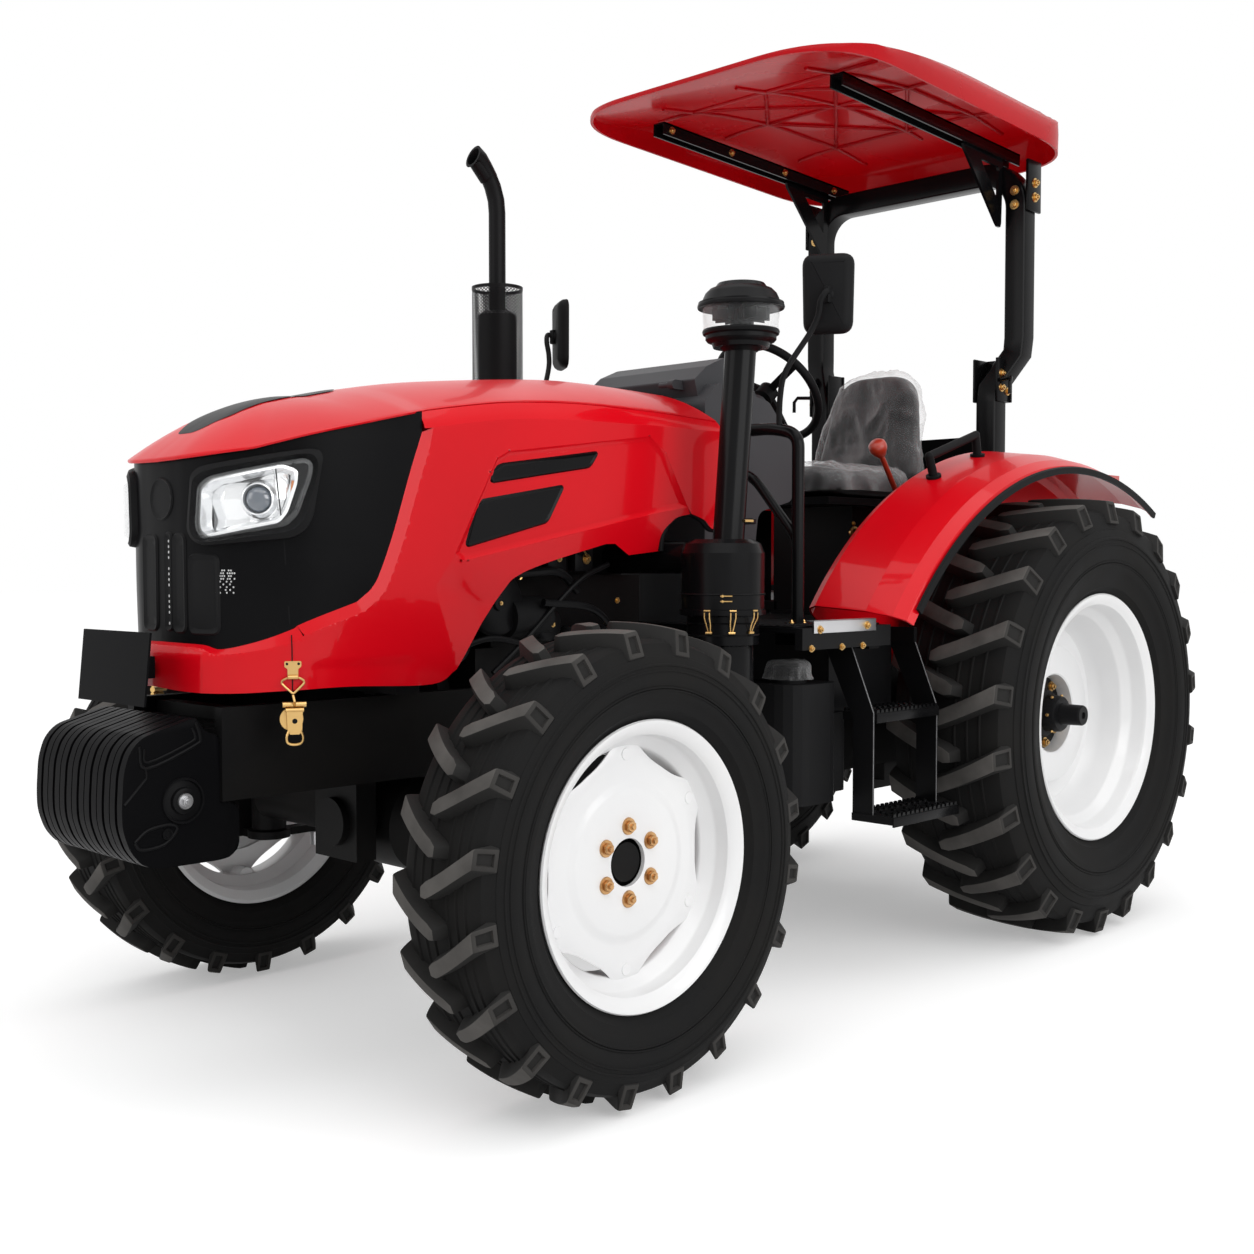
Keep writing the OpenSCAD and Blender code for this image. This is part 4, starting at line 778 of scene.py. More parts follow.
def makeTyre(look, side, name):
    r, w, rim, h = look["r"], look["w"], look["rim"], look["lug"]
    f, q, b = r - rim, r - h, look["rimW"] / 2 - 0.010
    centre = (look["x"], look["y"] * side, r)
    wall = [(rim - 0.024, b - 0.012), (rim - 0.006, b - 0.002), (rim + 0.006, b + 0.003),
            (rim + 0.016, b + 0.013),
            (rim + 0.022, b + 0.021), (rim + f * 0.22, w * 0.462), (rim + f * 0.24, w * 0.474),
            (rim + f * 0.27, w * 0.476),
            (rim + f * 0.36, w * 0.493), (rim + f * 0.46, w * 0.5), (rim + f * 0.555, w * 0.496),
            (rim + f * 0.562, w * 0.504),
            (rim + f * 0.58, w * 0.504), (rim + f * 0.588, w * 0.493), (rim + f * 0.66, w * 0.478),
            (rim + f * 0.665, w * 0.470)]
    rises, outs = [p[0] for p in wall], [p[1] for p in wall]
    for share in (0.31, 0.335, 0.51):   # fine rings on the side
        at = rim + f * share
        out = float(numpy.interp(at, rises, outs))
        wall += [(at - 0.0030, out), (at - 0.0012, out + 0.0026), (at + 0.0012, out + 0.0026),
                 (at + 0.0030, out)]
    tread = [(q - 0.030, w * 0.448), (q - 0.014, w * 0.425), (q - 0.006, w * 0.37)]
    for share in (0.29, 0.19, 0.09):   # mould lines between the lugs
        tread += [(q - 0.005, w * share + 0.005), (q - 0.0015, w * share + 0.002),
                  (q - 0.0015, w * share - 0.002),
                  (q - 0.005, w * share - 0.005)]
    half = sorted(wall) + tread + [(q - 0.004, 0.0)]
    profile = half + [(p[0], -p[1]) for p in half[-2::-1]]
    bm = bmesh.new()
    addRings(bm, spin(profile, centre, (0, 1, 0), 120), caps=False)
    addPiece(name + "Carcass", bm, "tyreRubber", "wheel_" + name, sharp=34, replaced=("tyre_" + name,))

    bm = bmesh.new()
    wear = bm.faces.layers.float.new("wear")   # 1 on the worn tops of the lugs
    steps = 9
    for row in (1, -1):
        for k in range(look["count"]):
            base = look["phase"] + (k + (0 if row * side > 0 else 0.5)) * 360 / look["count"]

            def spot(rad, degrees, y):
                a = math.radians(degrees)
                return place((centre[0] + rad * math.cos(a), centre[1] + row * y,
                              centre[2] + rad * math.sin(a)))
            rings = []
            for i in range(steps + 1):
                t = i / steps
                y = -look["past"] * w * (1 - t) + 0.44 * w * t
                bend = look["sweep"] * (t ** 1.25)
                size = look["wide"] / 2 * (1.0 + 0.22 * t ** 2)
                top = r - 0.012 * t ** 2.5
                angle, spread = math.degrees(size / r), 1.42
                low = q - 0.008 - 0.012 * t ** 3
                tip = 0.6 if i == 0 else 1.0
                lean = 0.012 if i == 0 else 0.0
                rings.append([spot(low, base + bend + angle * spread * tip, y - lean),
                              spot(top, base + bend + angle * tip, y),
                              spot(top, base + bend - angle * tip, y),
                              spot(low, base + bend - angle * spread * tip, y - lean)])
            angle = math.degrees(look["wide"] / 2 * 1.3 / r)
            turn = base + look["sweep"]
            rings.append([spot(q - 0.05, turn + angle * 1.5, w * 0.43),
                          spot(r - h * 2.25, turn + angle * 1.12, w * 0.486),
                          spot(r - h * 2.25, turn - angle * 1.12, w * 0.486),
                          spot(q - 0.05, turn - angle * 1.5, w * 0.43)])
            rows = [[bm.verts.new(p) for p in ring] for ring in rings]
            for a, c in zip(rows, rows[1:]):
                for j in range(3):
                    face = bm.faces.new((a[j], a[j + 1], c[j + 1], c[j]))
                    if j == 1:
                        face[wear] = 0.35 if c is rows[-1] else 1.0
            bm.faces.new(rows[0][::-1])
            bm.faces.new(rows[-1])
    bmesh.ops.recalc_face_normals(bm, faces=bm.faces)
    sharp = [e for e in bm.edges if len(e.link_faces) == 2 and e.calc_face_angle(0) > 0.55]
    bmesh.ops.bevel(bm, geom=sharp, offset=0.0035, segments=2, profile=0.5, affect="EDGES", material=-1)
    ends = [face for face in bm.faces if 0.3 < face[wear] < 0.4 and face.calc_area() > 0.0006]
    bmesh.ops.inset_individual(bm, faces=ends, thickness=0.009, depth=0.0)
    bmesh.ops.inset_individual(bm, faces=ends, thickness=0.003, depth=-0.006)
    for face in ends:
        face[wear] = 0.0
    addPiece(name + "Lugs", bm, "lugRubber", "wheel_" + name, sharp=34)


wheels = {
    "front": {
        "face": 0.046, "edge": 0.272, "scallop": 0.038, "scallopHalf": 23.0, "scallopPower": 2.6, "tabs": 6,
        "disc": [(0.055, -0.012), (0.055, -0.001), (0.057, 0), (0.12, 0), (0.160, 0.001), (0.170, -0.001),
                 (0.180, -0.006),
                 (0.190, -0.007), (0.215, -0.007), (1.0, -0.008), (1.004, -0.010), (1.0, -0.018),
                 (0.19, -0.018)],
        "dimpleRing": 0.246, "dimpleIn": 0.0075, "dimple": [(0.0145, 0), (0.0135, 0.0022), (0.011, 0.0026),
                                                            (0.002, 0.0012)],
        "tabRing": 0.262, "tabIn": 0.05, "tab": [(0.024, -0.02), (0.024, 0.034)],
        "nutRing": 0.083, "nut": 0.0135, "hub": [(0.100, -0.03), (0.100, 0.026), (0.060, 0.027),
                                                 (0.058, 0.010), (0.002, 0.008)],
    },
    "rear": {
        "hub": [(0.128, -0.12), (0.128, -0.045), (0.122, -0.04), (0.082, -0.038), (0.078, -0.02),
                (0.064, -0.012), (0.060, 0.03),
                (0.056, 0.036), (0.037, 0.038), (0.035, 0.044), (0.034, 0.108), (0.031, 0.113),
                (0.012, 0.113), (0.010, 0.106),
                (0.002, 0.106)],
        "shaft": [(0.048, -0.30), (0.048, -0.11)], "nuts": 8, "nutRing": 0.104, "nutFace": -0.039,
        "nut": 0.0125,
        "pins": 6, "pinRing": 0.0615, "pinAt": 0.016, "pin": 0.006,
    },
}


def onWheel(centre, out, radius, degrees, height):
    t = math.radians(degrees)
    return Vector(centre) + axisFrame(out) @ Vector((radius * math.cos(t), radius * math.sin(t), height))


def makeFrontWheel(side, name, size, look):
    centre, out = (size["x"], size["y"] * side, size["r"]), (0, side, 0)
    rim, e = size["rim"], size["rimW"] / 2
    low, face = rim - 0.062, look["face"]
    bm = bmesh.new()
    profile = [(rim - 0.002, e - 0.010), (rim, e - 0.004), (rim - 0.003, e), (rim - 0.010, e - 0.001),
               (rim - 0.022, e - 0.010),
               (rim - 0.030, e - 0.014), (rim - 0.036, e - 0.022), (rim - 0.038, e - 0.052),
               (rim - 0.043, e - 0.060),
               (low - 0.006, e - 0.078), (low - 0.010, e - 0.086), (low - 0.010, 0.080 - e),
               (rim - 0.042, 0.060 - e),
               (rim - 0.036, 0.016 - e), (rim - 0.010, -e), (rim, 0.004 - e), (rim - 0.004, 0.012 - e),
               (rim - 0.024, 0.016 - e),
               (rim - 0.030, 0.062 - e), (low, 0.084 - e), (low, e - 0.084), (rim - 0.030, e - 0.062),
               (rim - 0.025, e - 0.018)]
    addRings(bm, spin(profile + profile[:1], centre, out, 120), caps=False)
    turn, rows = axisFrame(out), []
    for p, h in look["disc"]:   # from 1 up, p counts from the scalloped edge
        ring = []
        for t in around(144):
            swing = (math.degrees(t) - 30) % 60 - 30   # 0 in the middle of a scallop
            bite = max(0, 1 - (abs(swing) / look["scallopHalf"]) ** look["scallopPower"])
            edge = look["edge"] - look["scallop"] * bite
            rad = edge + (p - 1) if p >= 1 else p
            ring.append(place(centre) + turn @ Vector((rad * math.cos(t), rad * math.sin(t), face + h)))
        rows.append(ring)
    addRings(bm, rows, caps=False)
    angles = [360 / look["tabs"] * k + 30 for k in range(look["tabs"])]
    for degrees in angles:   # a round dimple on each tab
        addLathe(bm, look["dimple"], onWheel(centre, out, look["dimpleRing"], degrees,
                                             face - look["dimpleIn"]), out, 24)
        addLathe(bm, look["tab"], onWheel(centre, out, look["tabRing"], degrees, face - look["tabIn"]), out,
                 12)
    addPiece(name + "Rim", bm, "rimWhite", "wheel_" + name, sharp=32, replaced=("wheel_" + name,))

    bm = bmesh.new()
    for degrees in angles:
        addBolt(bm, onWheel(centre, out, look["nutRing"], degrees, face), out, look["nut"])
    addPiece(name + "Nuts", bm, "nutBronze", "wheel_" + name)
    bm = bmesh.new()
    addLathe(bm, look["hub"], centre, out, 40)
    addPiece(name + "Hub", bm, "castBlack", "wheel_" + name)


def makeRearWheel(side, name, size, look):
    centre, out = (size["x"], size["y"] * side, size["r"]), (0, side, 0)
    rim, e = size["rim"], size["rimW"] / 2
    low = rim - 0.062
    bm = bmesh.new()
    profile = [(rim - 0.002, e - 0.012), (rim, e - 0.004), (rim - 0.004, e), (rim - 0.012, e - 0.001),
               (rim - 0.026, e - 0.010),
               (rim - 0.036, e - 0.016), (rim - 0.041, e - 0.026), (rim - 0.044, e - 0.060),
               (rim - 0.050, e - 0.070),
               (low - 0.006, e - 0.088), (low - 0.012, e - 0.098), (low - 0.016, 0.02), (0.300, -0.022),
               (0.246, -0.034),
               (0.236, -0.034), (0.232, -0.030), (0.228, 0.004), (0.224, 0.006), (0.136, 0.006),
               (0.131, 0.003), (0.130, -0.03),
               (0.132, -0.05), (0.25, -0.06), (low - 0.012, -0.03), (low - 0.010, 0.088 - e),
               (rim - 0.046, 0.066 - e),
               (rim - 0.036, 0.016 - e), (rim - 0.010, -e), (rim, 0.004 - e), (rim - 0.024, 0.016 - e),
               (rim - 0.030, 0.062 - e),
               (low, 0.084 - e), (low, e - 0.084), (rim - 0.030, e - 0.062), (rim - 0.025, e - 0.018)]
    addRings(bm, spin(profile + profile[:1], centre, out, 144), caps=False)
    addPiece(name + "Rim", bm, "rimWhite", "wheel_" + name, sharp=30, replaced=("wheel_" + name,))

    bm = bmesh.new()
    addLathe(bm, look["hub"], centre, out, 48)
    addLathe(bm, look["shaft"], centre, out, 32)
    addPiece(name + "Hub", bm, "satinBlack", "wheel_" + name, sharp=30)
    bm = bmesh.new()
    for k in range(look["nuts"]):
        spot = onWheel(centre, out, look["nutRing"], 360 / look["nuts"] * k + 10, look["nutFace"])
        addBolt(bm, spot, out, look["nut"])
    for k in range(look["pins"]):
        degrees = 360 / look["pins"] * k
        spot = onWheel(centre, out, look["pinRing"], degrees, look["pinAt"])
        addBolt(bm, spot, onWheel((0, 0, 0), out, 1, degrees, 0), look["pin"], washer=False)
    addPiece(name + "Nuts", bm, "zincGold", "wheel_" + name)


for side, tail in ((1, "left"), (-1, "right")):
    makeTyre(tyres["front"], side, "front_" + tail)
    makeTyre(tyres["rear"], side, "rear_" + tail)
    makeFrontWheel(side, "front_" + tail, tyres["front"], wheels["front"])
    makeRearWheel(side, "rear_" + tail, tyres["rear"], wheels["rear"])
print("tyres and wheels made")


# lamps and nose

lamp = {
    "bezel": [(0.135, 1.423), (0.161, 1.44), (0.412, 1.48), (0.439, 1.476), (0.445, 1.458), (0.422, 1.325),
              (0.406, 1.294),
              (0.376, 1.276), (0.171, 1.258), (0.139, 1.269), (0.121, 1.295)],
    "lens": [(0.154, 1.397), (0.184, 1.416), (0.402, 1.457), (0.42, 1.447), (0.42, 1.422), (0.387, 1.33),
             (0.361, 1.304),
             (0.171, 1.274), (0.149, 1.289), (0.146, 1.315)],
    "body": [(0.156, 1.392), (0.186, 1.41), (0.352, 1.442), (0.388, 1.43), (0.386, 1.40), (0.364, 1.335),
             (0.345, 1.312),
             (0.172, 1.279), (0.154, 1.292), (0.150, 1.315)],
    "projector": (0.294, 1.365), "amber": [(0.372, 1.41), (0.381, 1.405), (0.372, 1.355), (0.364, 1.352)],
}


def makeLamps(look):
    bezel = resample(rounded(look["bezel"], 0.02), 110)
    lens = resample(rounded(look["lens"], 0.012), 110)
    body = resample(rounded(look["body"], 0.010), 110)
    bm = bmesh.new()
    addBand(bm, bezel, inset(bezel, 0.003), atDepth(-0.012), atDepth(0.003))
    mid = [((a[0] * 0.45 + b[0] * 0.55), (a[1] * 0.45 + b[1] * 0.55)) for a, b in zip(bezel, lens)]
    addBand(bm, inset(bezel, 0.003), mid, atDepth(0.003), atDepth(0.007))
    addBand(bm, mid, lens, atDepth(0.007), atDepth(-0.006))
    addBand(bm, lens, lens, atDepth(-0.006), atDepth(-0.060))
    addSheet(bm, lens, atDepth(-0.060), 0.02)
    addPiece("lampBezels", bm, "moulded", "hood", sharp=30, paired=True)

    bm = bmesh.new()   # clear cover
    domed = inset(lens, 0.012)
    for depth in (0.0, -0.003):
        addBand(bm, lens, domed, atDepth(-0.002 + depth), atDepth(0.015 + depth))
        addSheet(bm, domed, atDepth(0.015 + depth), 0.02)
    addBand(bm, lens, lens, atDepth(-0.002), atDepth(-0.005))
    addPiece("lampLenses", bm, "clearLens", "hood", sharp=50, replaced=("headlamps",), paired=True)

    bm = bmesh.new()   # bright reflector with its facets
    rim = inset(body, 0.007)
    addBand(bm, body, rim, atDepth(-0.008), atDepth(-0.005))
    deep = inset(body, 0.016)
    addBand(bm, rim, deep, atDepth(-0.005), atDepth(-0.036))
    px, pz = look["projector"]

    def facets(s, z):
        a = abs((s - 0.15) * 17 % 2 - 1)
        b = abs((z - 1.27) * 21 % 2 - 1)
        return skinSpot(s, z, -0.036 - 0.014 * a + 0.012 * b)
    addSheet(bm, deep, facets, 0.0065)
    addBand(bm, body, inset(body, -0.002), atDepth(-0.008), atDepth(-0.05))
    hub = skinSpot(px, pz, -0.034)
    ahead = (skinSpot(px, pz, 0.0) - hub).normalized()
    origin = hub - axleShift
    addLathe(bm, [(0.044, -0.004), (0.040, 0.006), (0.036, 0.016), (0.033, 0.018), (0.031, 0.010),
                  (0.030, -0.004)], origin, ahead, 40)
    addPiece("lampReflectors", bm, "chrome", "hood", sharp=14, paired=True)
    bm = bmesh.new()
    addLathe(bm, [(0.030, 0.004), (0.0285, 0.010), (0.024, 0.016), (0.016, 0.0205), (0.008, 0.022),
                  (0.002, 0.0222)], origin, ahead, 40)
    addPiece("lampProjectors", bm, "projectorGlass", "hood", sharp=60, paired=True)
    bm = bmesh.new()
    strip = rounded(look["amber"], 0.004)
    addBand(bm, strip, inset(strip, 0.002), atDepth(-0.03), atDepth(-0.012))
    addSheet(bm, inset(strip, 0.002), atDepth(-0.012), 0.02)
    addPiece("lampAmber", bm, "amber", "hood", paired=True)


nose = {
    "flutes": [(-0.080, -0.014, 1.068, 1.286), (0.026, 0.052, 1.07, 1.29), (0.058, 0.104, 1.066, 1.287),
               (0.118, 0.20, 1.064, 1.24)],
    "recess": (0.009, 1.369, 0.047), "mesh": (0.193, 0.243, 1.156, 1.212), "meshDots": 9, "meshDot": 0.0022,
    "slit": {"s": 0.041, "z": 1.085, "step": 0.0125, "count": 16, "dot": (0.003, 0.0035)},
    "seam": [(0.332, 1.488), (0.345, 1.36), (0.355, 1.268), (0.366, 1.085)],
    "lowSeam": [(0.3695, 1.062), (0.3705, 1.03), (0.3705, 1.0), (0.371, 0.96), (0.371, 0.937)],
}


def oval(s, z, wide, tall, count):
    return [(s + wide * math.cos(t), z + tall * math.sin(t)) for t in around(count)]


def makeNose(look, depth):
    def level(height):
        return atDepth(height - depth)
    bm = bmesh.new()
    for s0, s1, z0, z1 in look["flutes"]:
        ring = rounded([(s0, z0), (s1, z0), (s1, z1), (s0, z1)], min(0.018, (s1 - s0) * 0.45), 6)
        addBand(bm, inset(ring, -0.004), ring, level(0.0006), level(0.005))
        inner = inset(ring, min(0.010, (s1 - s0) * 0.3))
        addBand(bm, ring, inner, level(0.005), level(0.0008))
        addSheet(bm, inner, level(0.0008), 0.02)
    s, z, r = look["recess"]
    ring = oval(s, z, r, r, 48)
    addBand(bm, inset(ring, -0.003), ring, level(0.0006), level(0.004))
    addBand(bm, ring, inset(ring, 0.005), level(0.004), level(0.0007))
    addSheet(bm, inset(ring, 0.005), level(0.0007), 0.02)
    addPiece("noseRelief", bm, "moulded", "hood", sharp=34)

    bm = bmesh.new()   # pale patch of mesh, dots of light through the panel
    s0, s1, z0, z1 = look["mesh"]
    count, size = look["meshDots"], look["meshDot"]
    for i in range(count):
        for k in range(count):
            if (i * 7 + k * 5) % 11 < (8 if k > 4 else 4):
                s, z = s0 + (i + 0.5 * (k % 2)) * (s1 - s0) / count, z0 + k * (z1 - z0) / count
                bm.faces.new([bm.verts.new(level(0.0008)(*p)) for p in oval(s, z, size, size, 8)])
    slit = look["slit"]
    for k in range(slit["count"]):
        if k % 5 != 1:
            dot = oval(slit["s"], slit["z"] + slit["step"] * k, *slit["dot"], 8)
            bm.faces.new([bm.verts.new(level(0.0026)(*p)) for p in dot])
    addPiece("noseMesh", bm, "meshGlint", "hood")

    bm = bmesh.new()   # seams of the nose
    for line, half, height in ((look["seam"], 0.0016, 0.0009 - depth), (look["lowSeam"], 0.0013, 0.0012)):
        for a, b in zip(line, line[1:]):
            bm.faces.new([bm.verts.new(skinSpot(s + d, z, height)) for s, z, d in
                          ((*a, -half), (*a, half), (*b, half), (*b, -half))])
    addPiece("noseSeams", bm, "softRubber", "hood", paired=True)


latch = {
    "s": 0.372, "base": (0.528, 0.301, 0.868), "facing": (0.45, 0.893, 0),
    "plate": [(-0.019, 1.003), (0.019, 1.003), (0.019, 0.990), (0.012, 0.986), (0.012, 0.966),
              (-0.012, 0.966), (-0.012, 0.986),
              (-0.019, 0.990)],
    "loop": [(-0.012, 0.966), (-0.022, 0.961), (-0.025, 0.955), (-0.021, 0.949), (-0.004, 0.933), (0, 0.931),
             (0.004, 0.933),
             (0.021, 0.949), (0.025, 0.955), (0.022, 0.961), (0.012, 0.966)],
    "link": [(0.540, 0.322, 0.914), (0.530, 0.305, 0.900)],
    "boss": [(0.026, -0.006), (0.027, -0.003), (0.026, 0.001), (0.002, 0.002)],
    "lever": [(-0.018, 0.893), (0.018, 0.893), (0.016, 0.846), (0.010, 0.838), (-0.010, 0.838),
              (-0.016, 0.846)],
    "tail": [(-0.013, 0.846), (-0.018, 0.832), (-0.015, 0.819), (0, 0.815), (0.015, 0.819), (0.018, 0.832),
             (0.013, 0.846)],
    "rivet": [(0.0032, 0), (0.0026, 0.0015), (0.001, 0.002)],
    "stud": [(0.006, 0), (0.005, 0.001), (0.001, 0.001)],
}


def makeLatch(look):
    s, base = look["s"], Vector(look["base"])
    turn = Vector(look["facing"]).normalized()
    side = Vector((-turn.y, turn.x, 0))

    def at(ds, z, out):   # on the hood's skin
        return skinSpot(s + ds, z, out) - axleShift

    def on(u, z, out):   # on the frame below
        return base + side * u + turn * out + Vector((0, 0, z - look["base"][2]))
    bm = bmesh.new()
    ring = rounded([(s + d, z) for d, z in look["plate"]], 0.003)
    addBand(bm, ring, ring, atDepth(0.0), atDepth(0.004))
    addSheet(bm, ring, atDepth(0.004), 0.03)
    addTube(bm, [at(-0.011, 0.967, 0.007), at(0.011, 0.967, 0.007)], 0.005, 12)
    addTube(bm, [at(d, z, 0.008) for d, z in smoothLine(look["loop"], 3)], 0.0026, 8)
    addPiece("latchHooks", bm, "zincGold", "hood", sharp=34, paired=True)
    bm = bmesh.new()
    addTube(bm, [at(0, 0.926, 0.008)] + look["link"], 0.003, 8)
    addTube(bm, [on(-0.026, 0.905, 0.004), on(0.026, 0.905, 0.004)], 0.007, 12)
    addLathe(bm, look["boss"], on(-0.006, 0.872, 0.0), turn, 28)
    addRings(bm, [[place(on(u, z, out)) for u, z in look["lever"]] for out in (0.012, 0.003)])
    addTube(bm, [on(u, z, 0.010) for u, z in smoothLine(look["tail"], 3)], 0.003, 8)
    addTube(bm, [on(-0.02, 0.893, 0.009), on(0.02, 0.893, 0.009)], 0.005, 10)
    addPiece("latchCatches", bm, "zincGold", "chassis", sharp=34, paired=True)
    bm = bmesh.new()
    for d in (-0.013, 0.013):
        addLathe(bm, look["rivet"], at(d, 0.997, 0.004), turn, 12)
    addPiece("latchRivets", bm, "satinBlack", "hood", paired=True)
    bm = bmesh.new()
    addLathe(bm, look["stud"], on(0, 0.868, 0.012), turn, 12)
    addPiece("latchStuds", bm, "satinBlack", "chassis", paired=True)


weights = {
    "outline": [(0.612, 0.588), (0.626, 0.564), (0.66, 0.558), (0.80, 0.559), (0.844, 0.567), (0.876, 0.604),
                (0.893, 0.654), (0.894, 0.70),
                (0.889, 0.775), (0.874, 0.820), (0.846, 0.848), (0.712, 0.886), (0.700, 0.843),
                (0.660, 0.843), (0.660, 0.69), (0.612, 0.68)],
    "count": 7, "pitch": 0.059, "bolt": (0.752, 0.702), "hole": (0.79, 0.633),
    "relief": [([(0.853, 0.829), (0.838, 0.780), (0.722, 0.820), (0.708, 0.838), (0.719, 0.872)], 0.004),
               ([(0.842, 0.822), (0.833, 0.793), (0.732, 0.828), (0.721, 0.842), (0.727, 0.860)], 0.003),
               ([(0.838, 0.778), (0.837, 0.759), (0.888, 0.707)], 0.003),
               ([(0.866, 0.624), (0.834, 0.647), (0.782, 0.653), (0.767, 0.640), (0.797, 0.611),
                 (0.850, 0.606), (0.866, 0.624)], 0.004)],
    "boss": [(0.052, -0.001), (0.050, 0.006), (0.046, 0.006), (0.044, 0.0), (0.030, 0.002), (0.028, 0.010),
             (0.020, 0.012), (0.002, 0.012)],
    "dimple": [(0.013, -0.001), (0.012, 0.004), (0.009, 0.004), (0.008, 0.001), (0.002, 0.001)],
}


def makeWeights(look):
    bm = bmesh.new()
    half = look["count"] * look["pitch"] / 2
    ring = rounded(look["outline"], 0.02, 4)
    small = inset(ring, 0.007)
    for k in range(look["count"]):
        y = -half + k * look["pitch"] + 0.002
        for a, b in ((0.0, 0.022), (0.033, 0.055)):
            addPlate(bm, ring, "y", y + a, y + b, 0.004)
        addPlate(bm, small, "y", y + 0.022, y + 0.033)
    addPiece("weightSlabs", bm, "weightBlack", "chassis", sharp=30, replaced=("front_weights",))

    bm = bmesh.new()
    y = half - 0.002
    (bx, bz), (hx, hz) = look["bolt"], look["hole"]
    for pts, wide in look["relief"]:
        line = smoothLine(pts, 4) if len(pts) > 3 else pts
        addTube(bm, [(x, y, z) for x, z in line], wide, 8)
    addLathe(bm, look["boss"], (bx, y, bz), (0, 1, 0), 40)
    addLathe(bm, look["dimple"], (hx, y, hz), (0, 1, 0), 24)
    addPiece("weightRelief", bm, "satinBlack", "chassis", sharp=30)
    bm = bmesh.new()
    addBolt(bm, (bx, y + 0.012, bz), (0, 1, 0), 0.012)
    addBolt(bm, (bx, -y - 0.004, bz), (0, -1, 0), 0.012)
    addPiece("weightBolt", bm, "bareSteel", "chassis")


makeLamps(lamp)
makeNose(nose, hood["panelDepth"])
makeLatch(latch)
makeWeights(weights)
print("lamps, nose, latch and weights made")


# roof and roll bar

roof = {
    "hoop": (-2.423, 2.66), "tilt": 2.3, "u": (-0.2, 1.30), "half": 0.58, "corner": 0.30, "edge": 0.018,
    "wall": 0.006,
    "along": [(-0.2, 0.105), (-0.17, 0.145), (0.1, 0.178), (0.5, 0.160), (0.8, 0.118), (1.0, 0.078),
              (1.2, 0.044), (1.30, 0.034)],
    "across": [(0.0, 0.190), (0.3, 0.182), (0.45, 0.165), (0.54, 0.136), (0.57, 0.100), (0.58, 0.055)],
    "ribs": [((-0.1, 0.30), (1.08, 0.30)), ((-0.1, -0.30), (1.08, -0.30)), ((0.0, 0.02), (1.08, 0.02)),
             ((0.1, -0.48), (0.1, 0.48)),
             ((0.52, -0.5), (0.52, 0.5)), ((0.93, -0.46), (0.93, 0.46)), ((0.1, -0.3), (0.93, 0.3)),
             ((0.1, 0.3), (0.93, -0.3)),
             ((0.52, 0.3), (0.93, 0.02)), ((0.52, -0.3), (0.93, 0.02)), ((0.1, 0.02), (0.52, 0.3)),
             ((0.1, 0.02), (0.52, -0.3))],
}


def roofSpot(u, v, w):
    turn = math.radians(roof["tilt"])
    return (roof["hoop"][0] + u * math.cos(turn) - w * math.sin(turn), v,
            roof["hoop"][1] + u * math.sin(turn) + w * math.cos(turn))


def roofTop(u, v):
    a = float(numpy.interp(u, *zip(*roof["along"])))
    b = float(numpy.interp(abs(v), *zip(*roof["across"])))
    return -math.log(math.exp(-70 * a) + math.exp(-70 * b)) / 70


def makeRoof(look):
    (u0, u1), w = look["u"], look["half"]
    outline = resample(rounded([(u0, -w), (u1, -w), (u1, w), (u0, w)], look["corner"], 12), 160)
    mid = (u0 + u1) / 2

    def ring(t, lift):
        spots = [(mid + (u - mid) * t, v * t) for u, v in outline]
        return [place(roofSpot(u, v, lift(u, v))) for u, v in spots]
    steps = [0.04, 0.15, 0.3, 0.45, 0.6, 0.72, 0.82, 0.89, 0.94, 0.965, 0.982]
    rings = [ring(t, lambda u, v: roofTop(u, v) - look["wall"]) for t in steps]
    rings.append(ring(0.988, lambda u, v: look["edge"]))
    rings.append(ring(1.0, lambda u, v: look["edge"]))
    rings.append(ring(1.0, lambda u, v: look["edge"] * 0.4 + roofTop(u, v) * 0.6))
    rings += [ring(t, roofTop) for t in [0.996] + steps[::-1]]
    bm = bmesh.new()
    addRings(bm, rings)
    addPiece("roofShell", bm, "roofPlastic", "chassis", sharp=40, replaced=("canopy",))
    bm = bmesh.new()
    for a, b in look["ribs"]:
        path = [(a[0] + (b[0] - a[0]) * k / 12, a[1] + (b[1] - a[1]) * k / 12) for k in range(13)]
        addTube(bm, [roofSpot(u, v, roofTop(u, v) - look["wall"] - 0.002) for u, v in path], 0.0075, 8)
    addPiece("roofRibs", bm, "roofPlastic", "chassis", sharp=50)


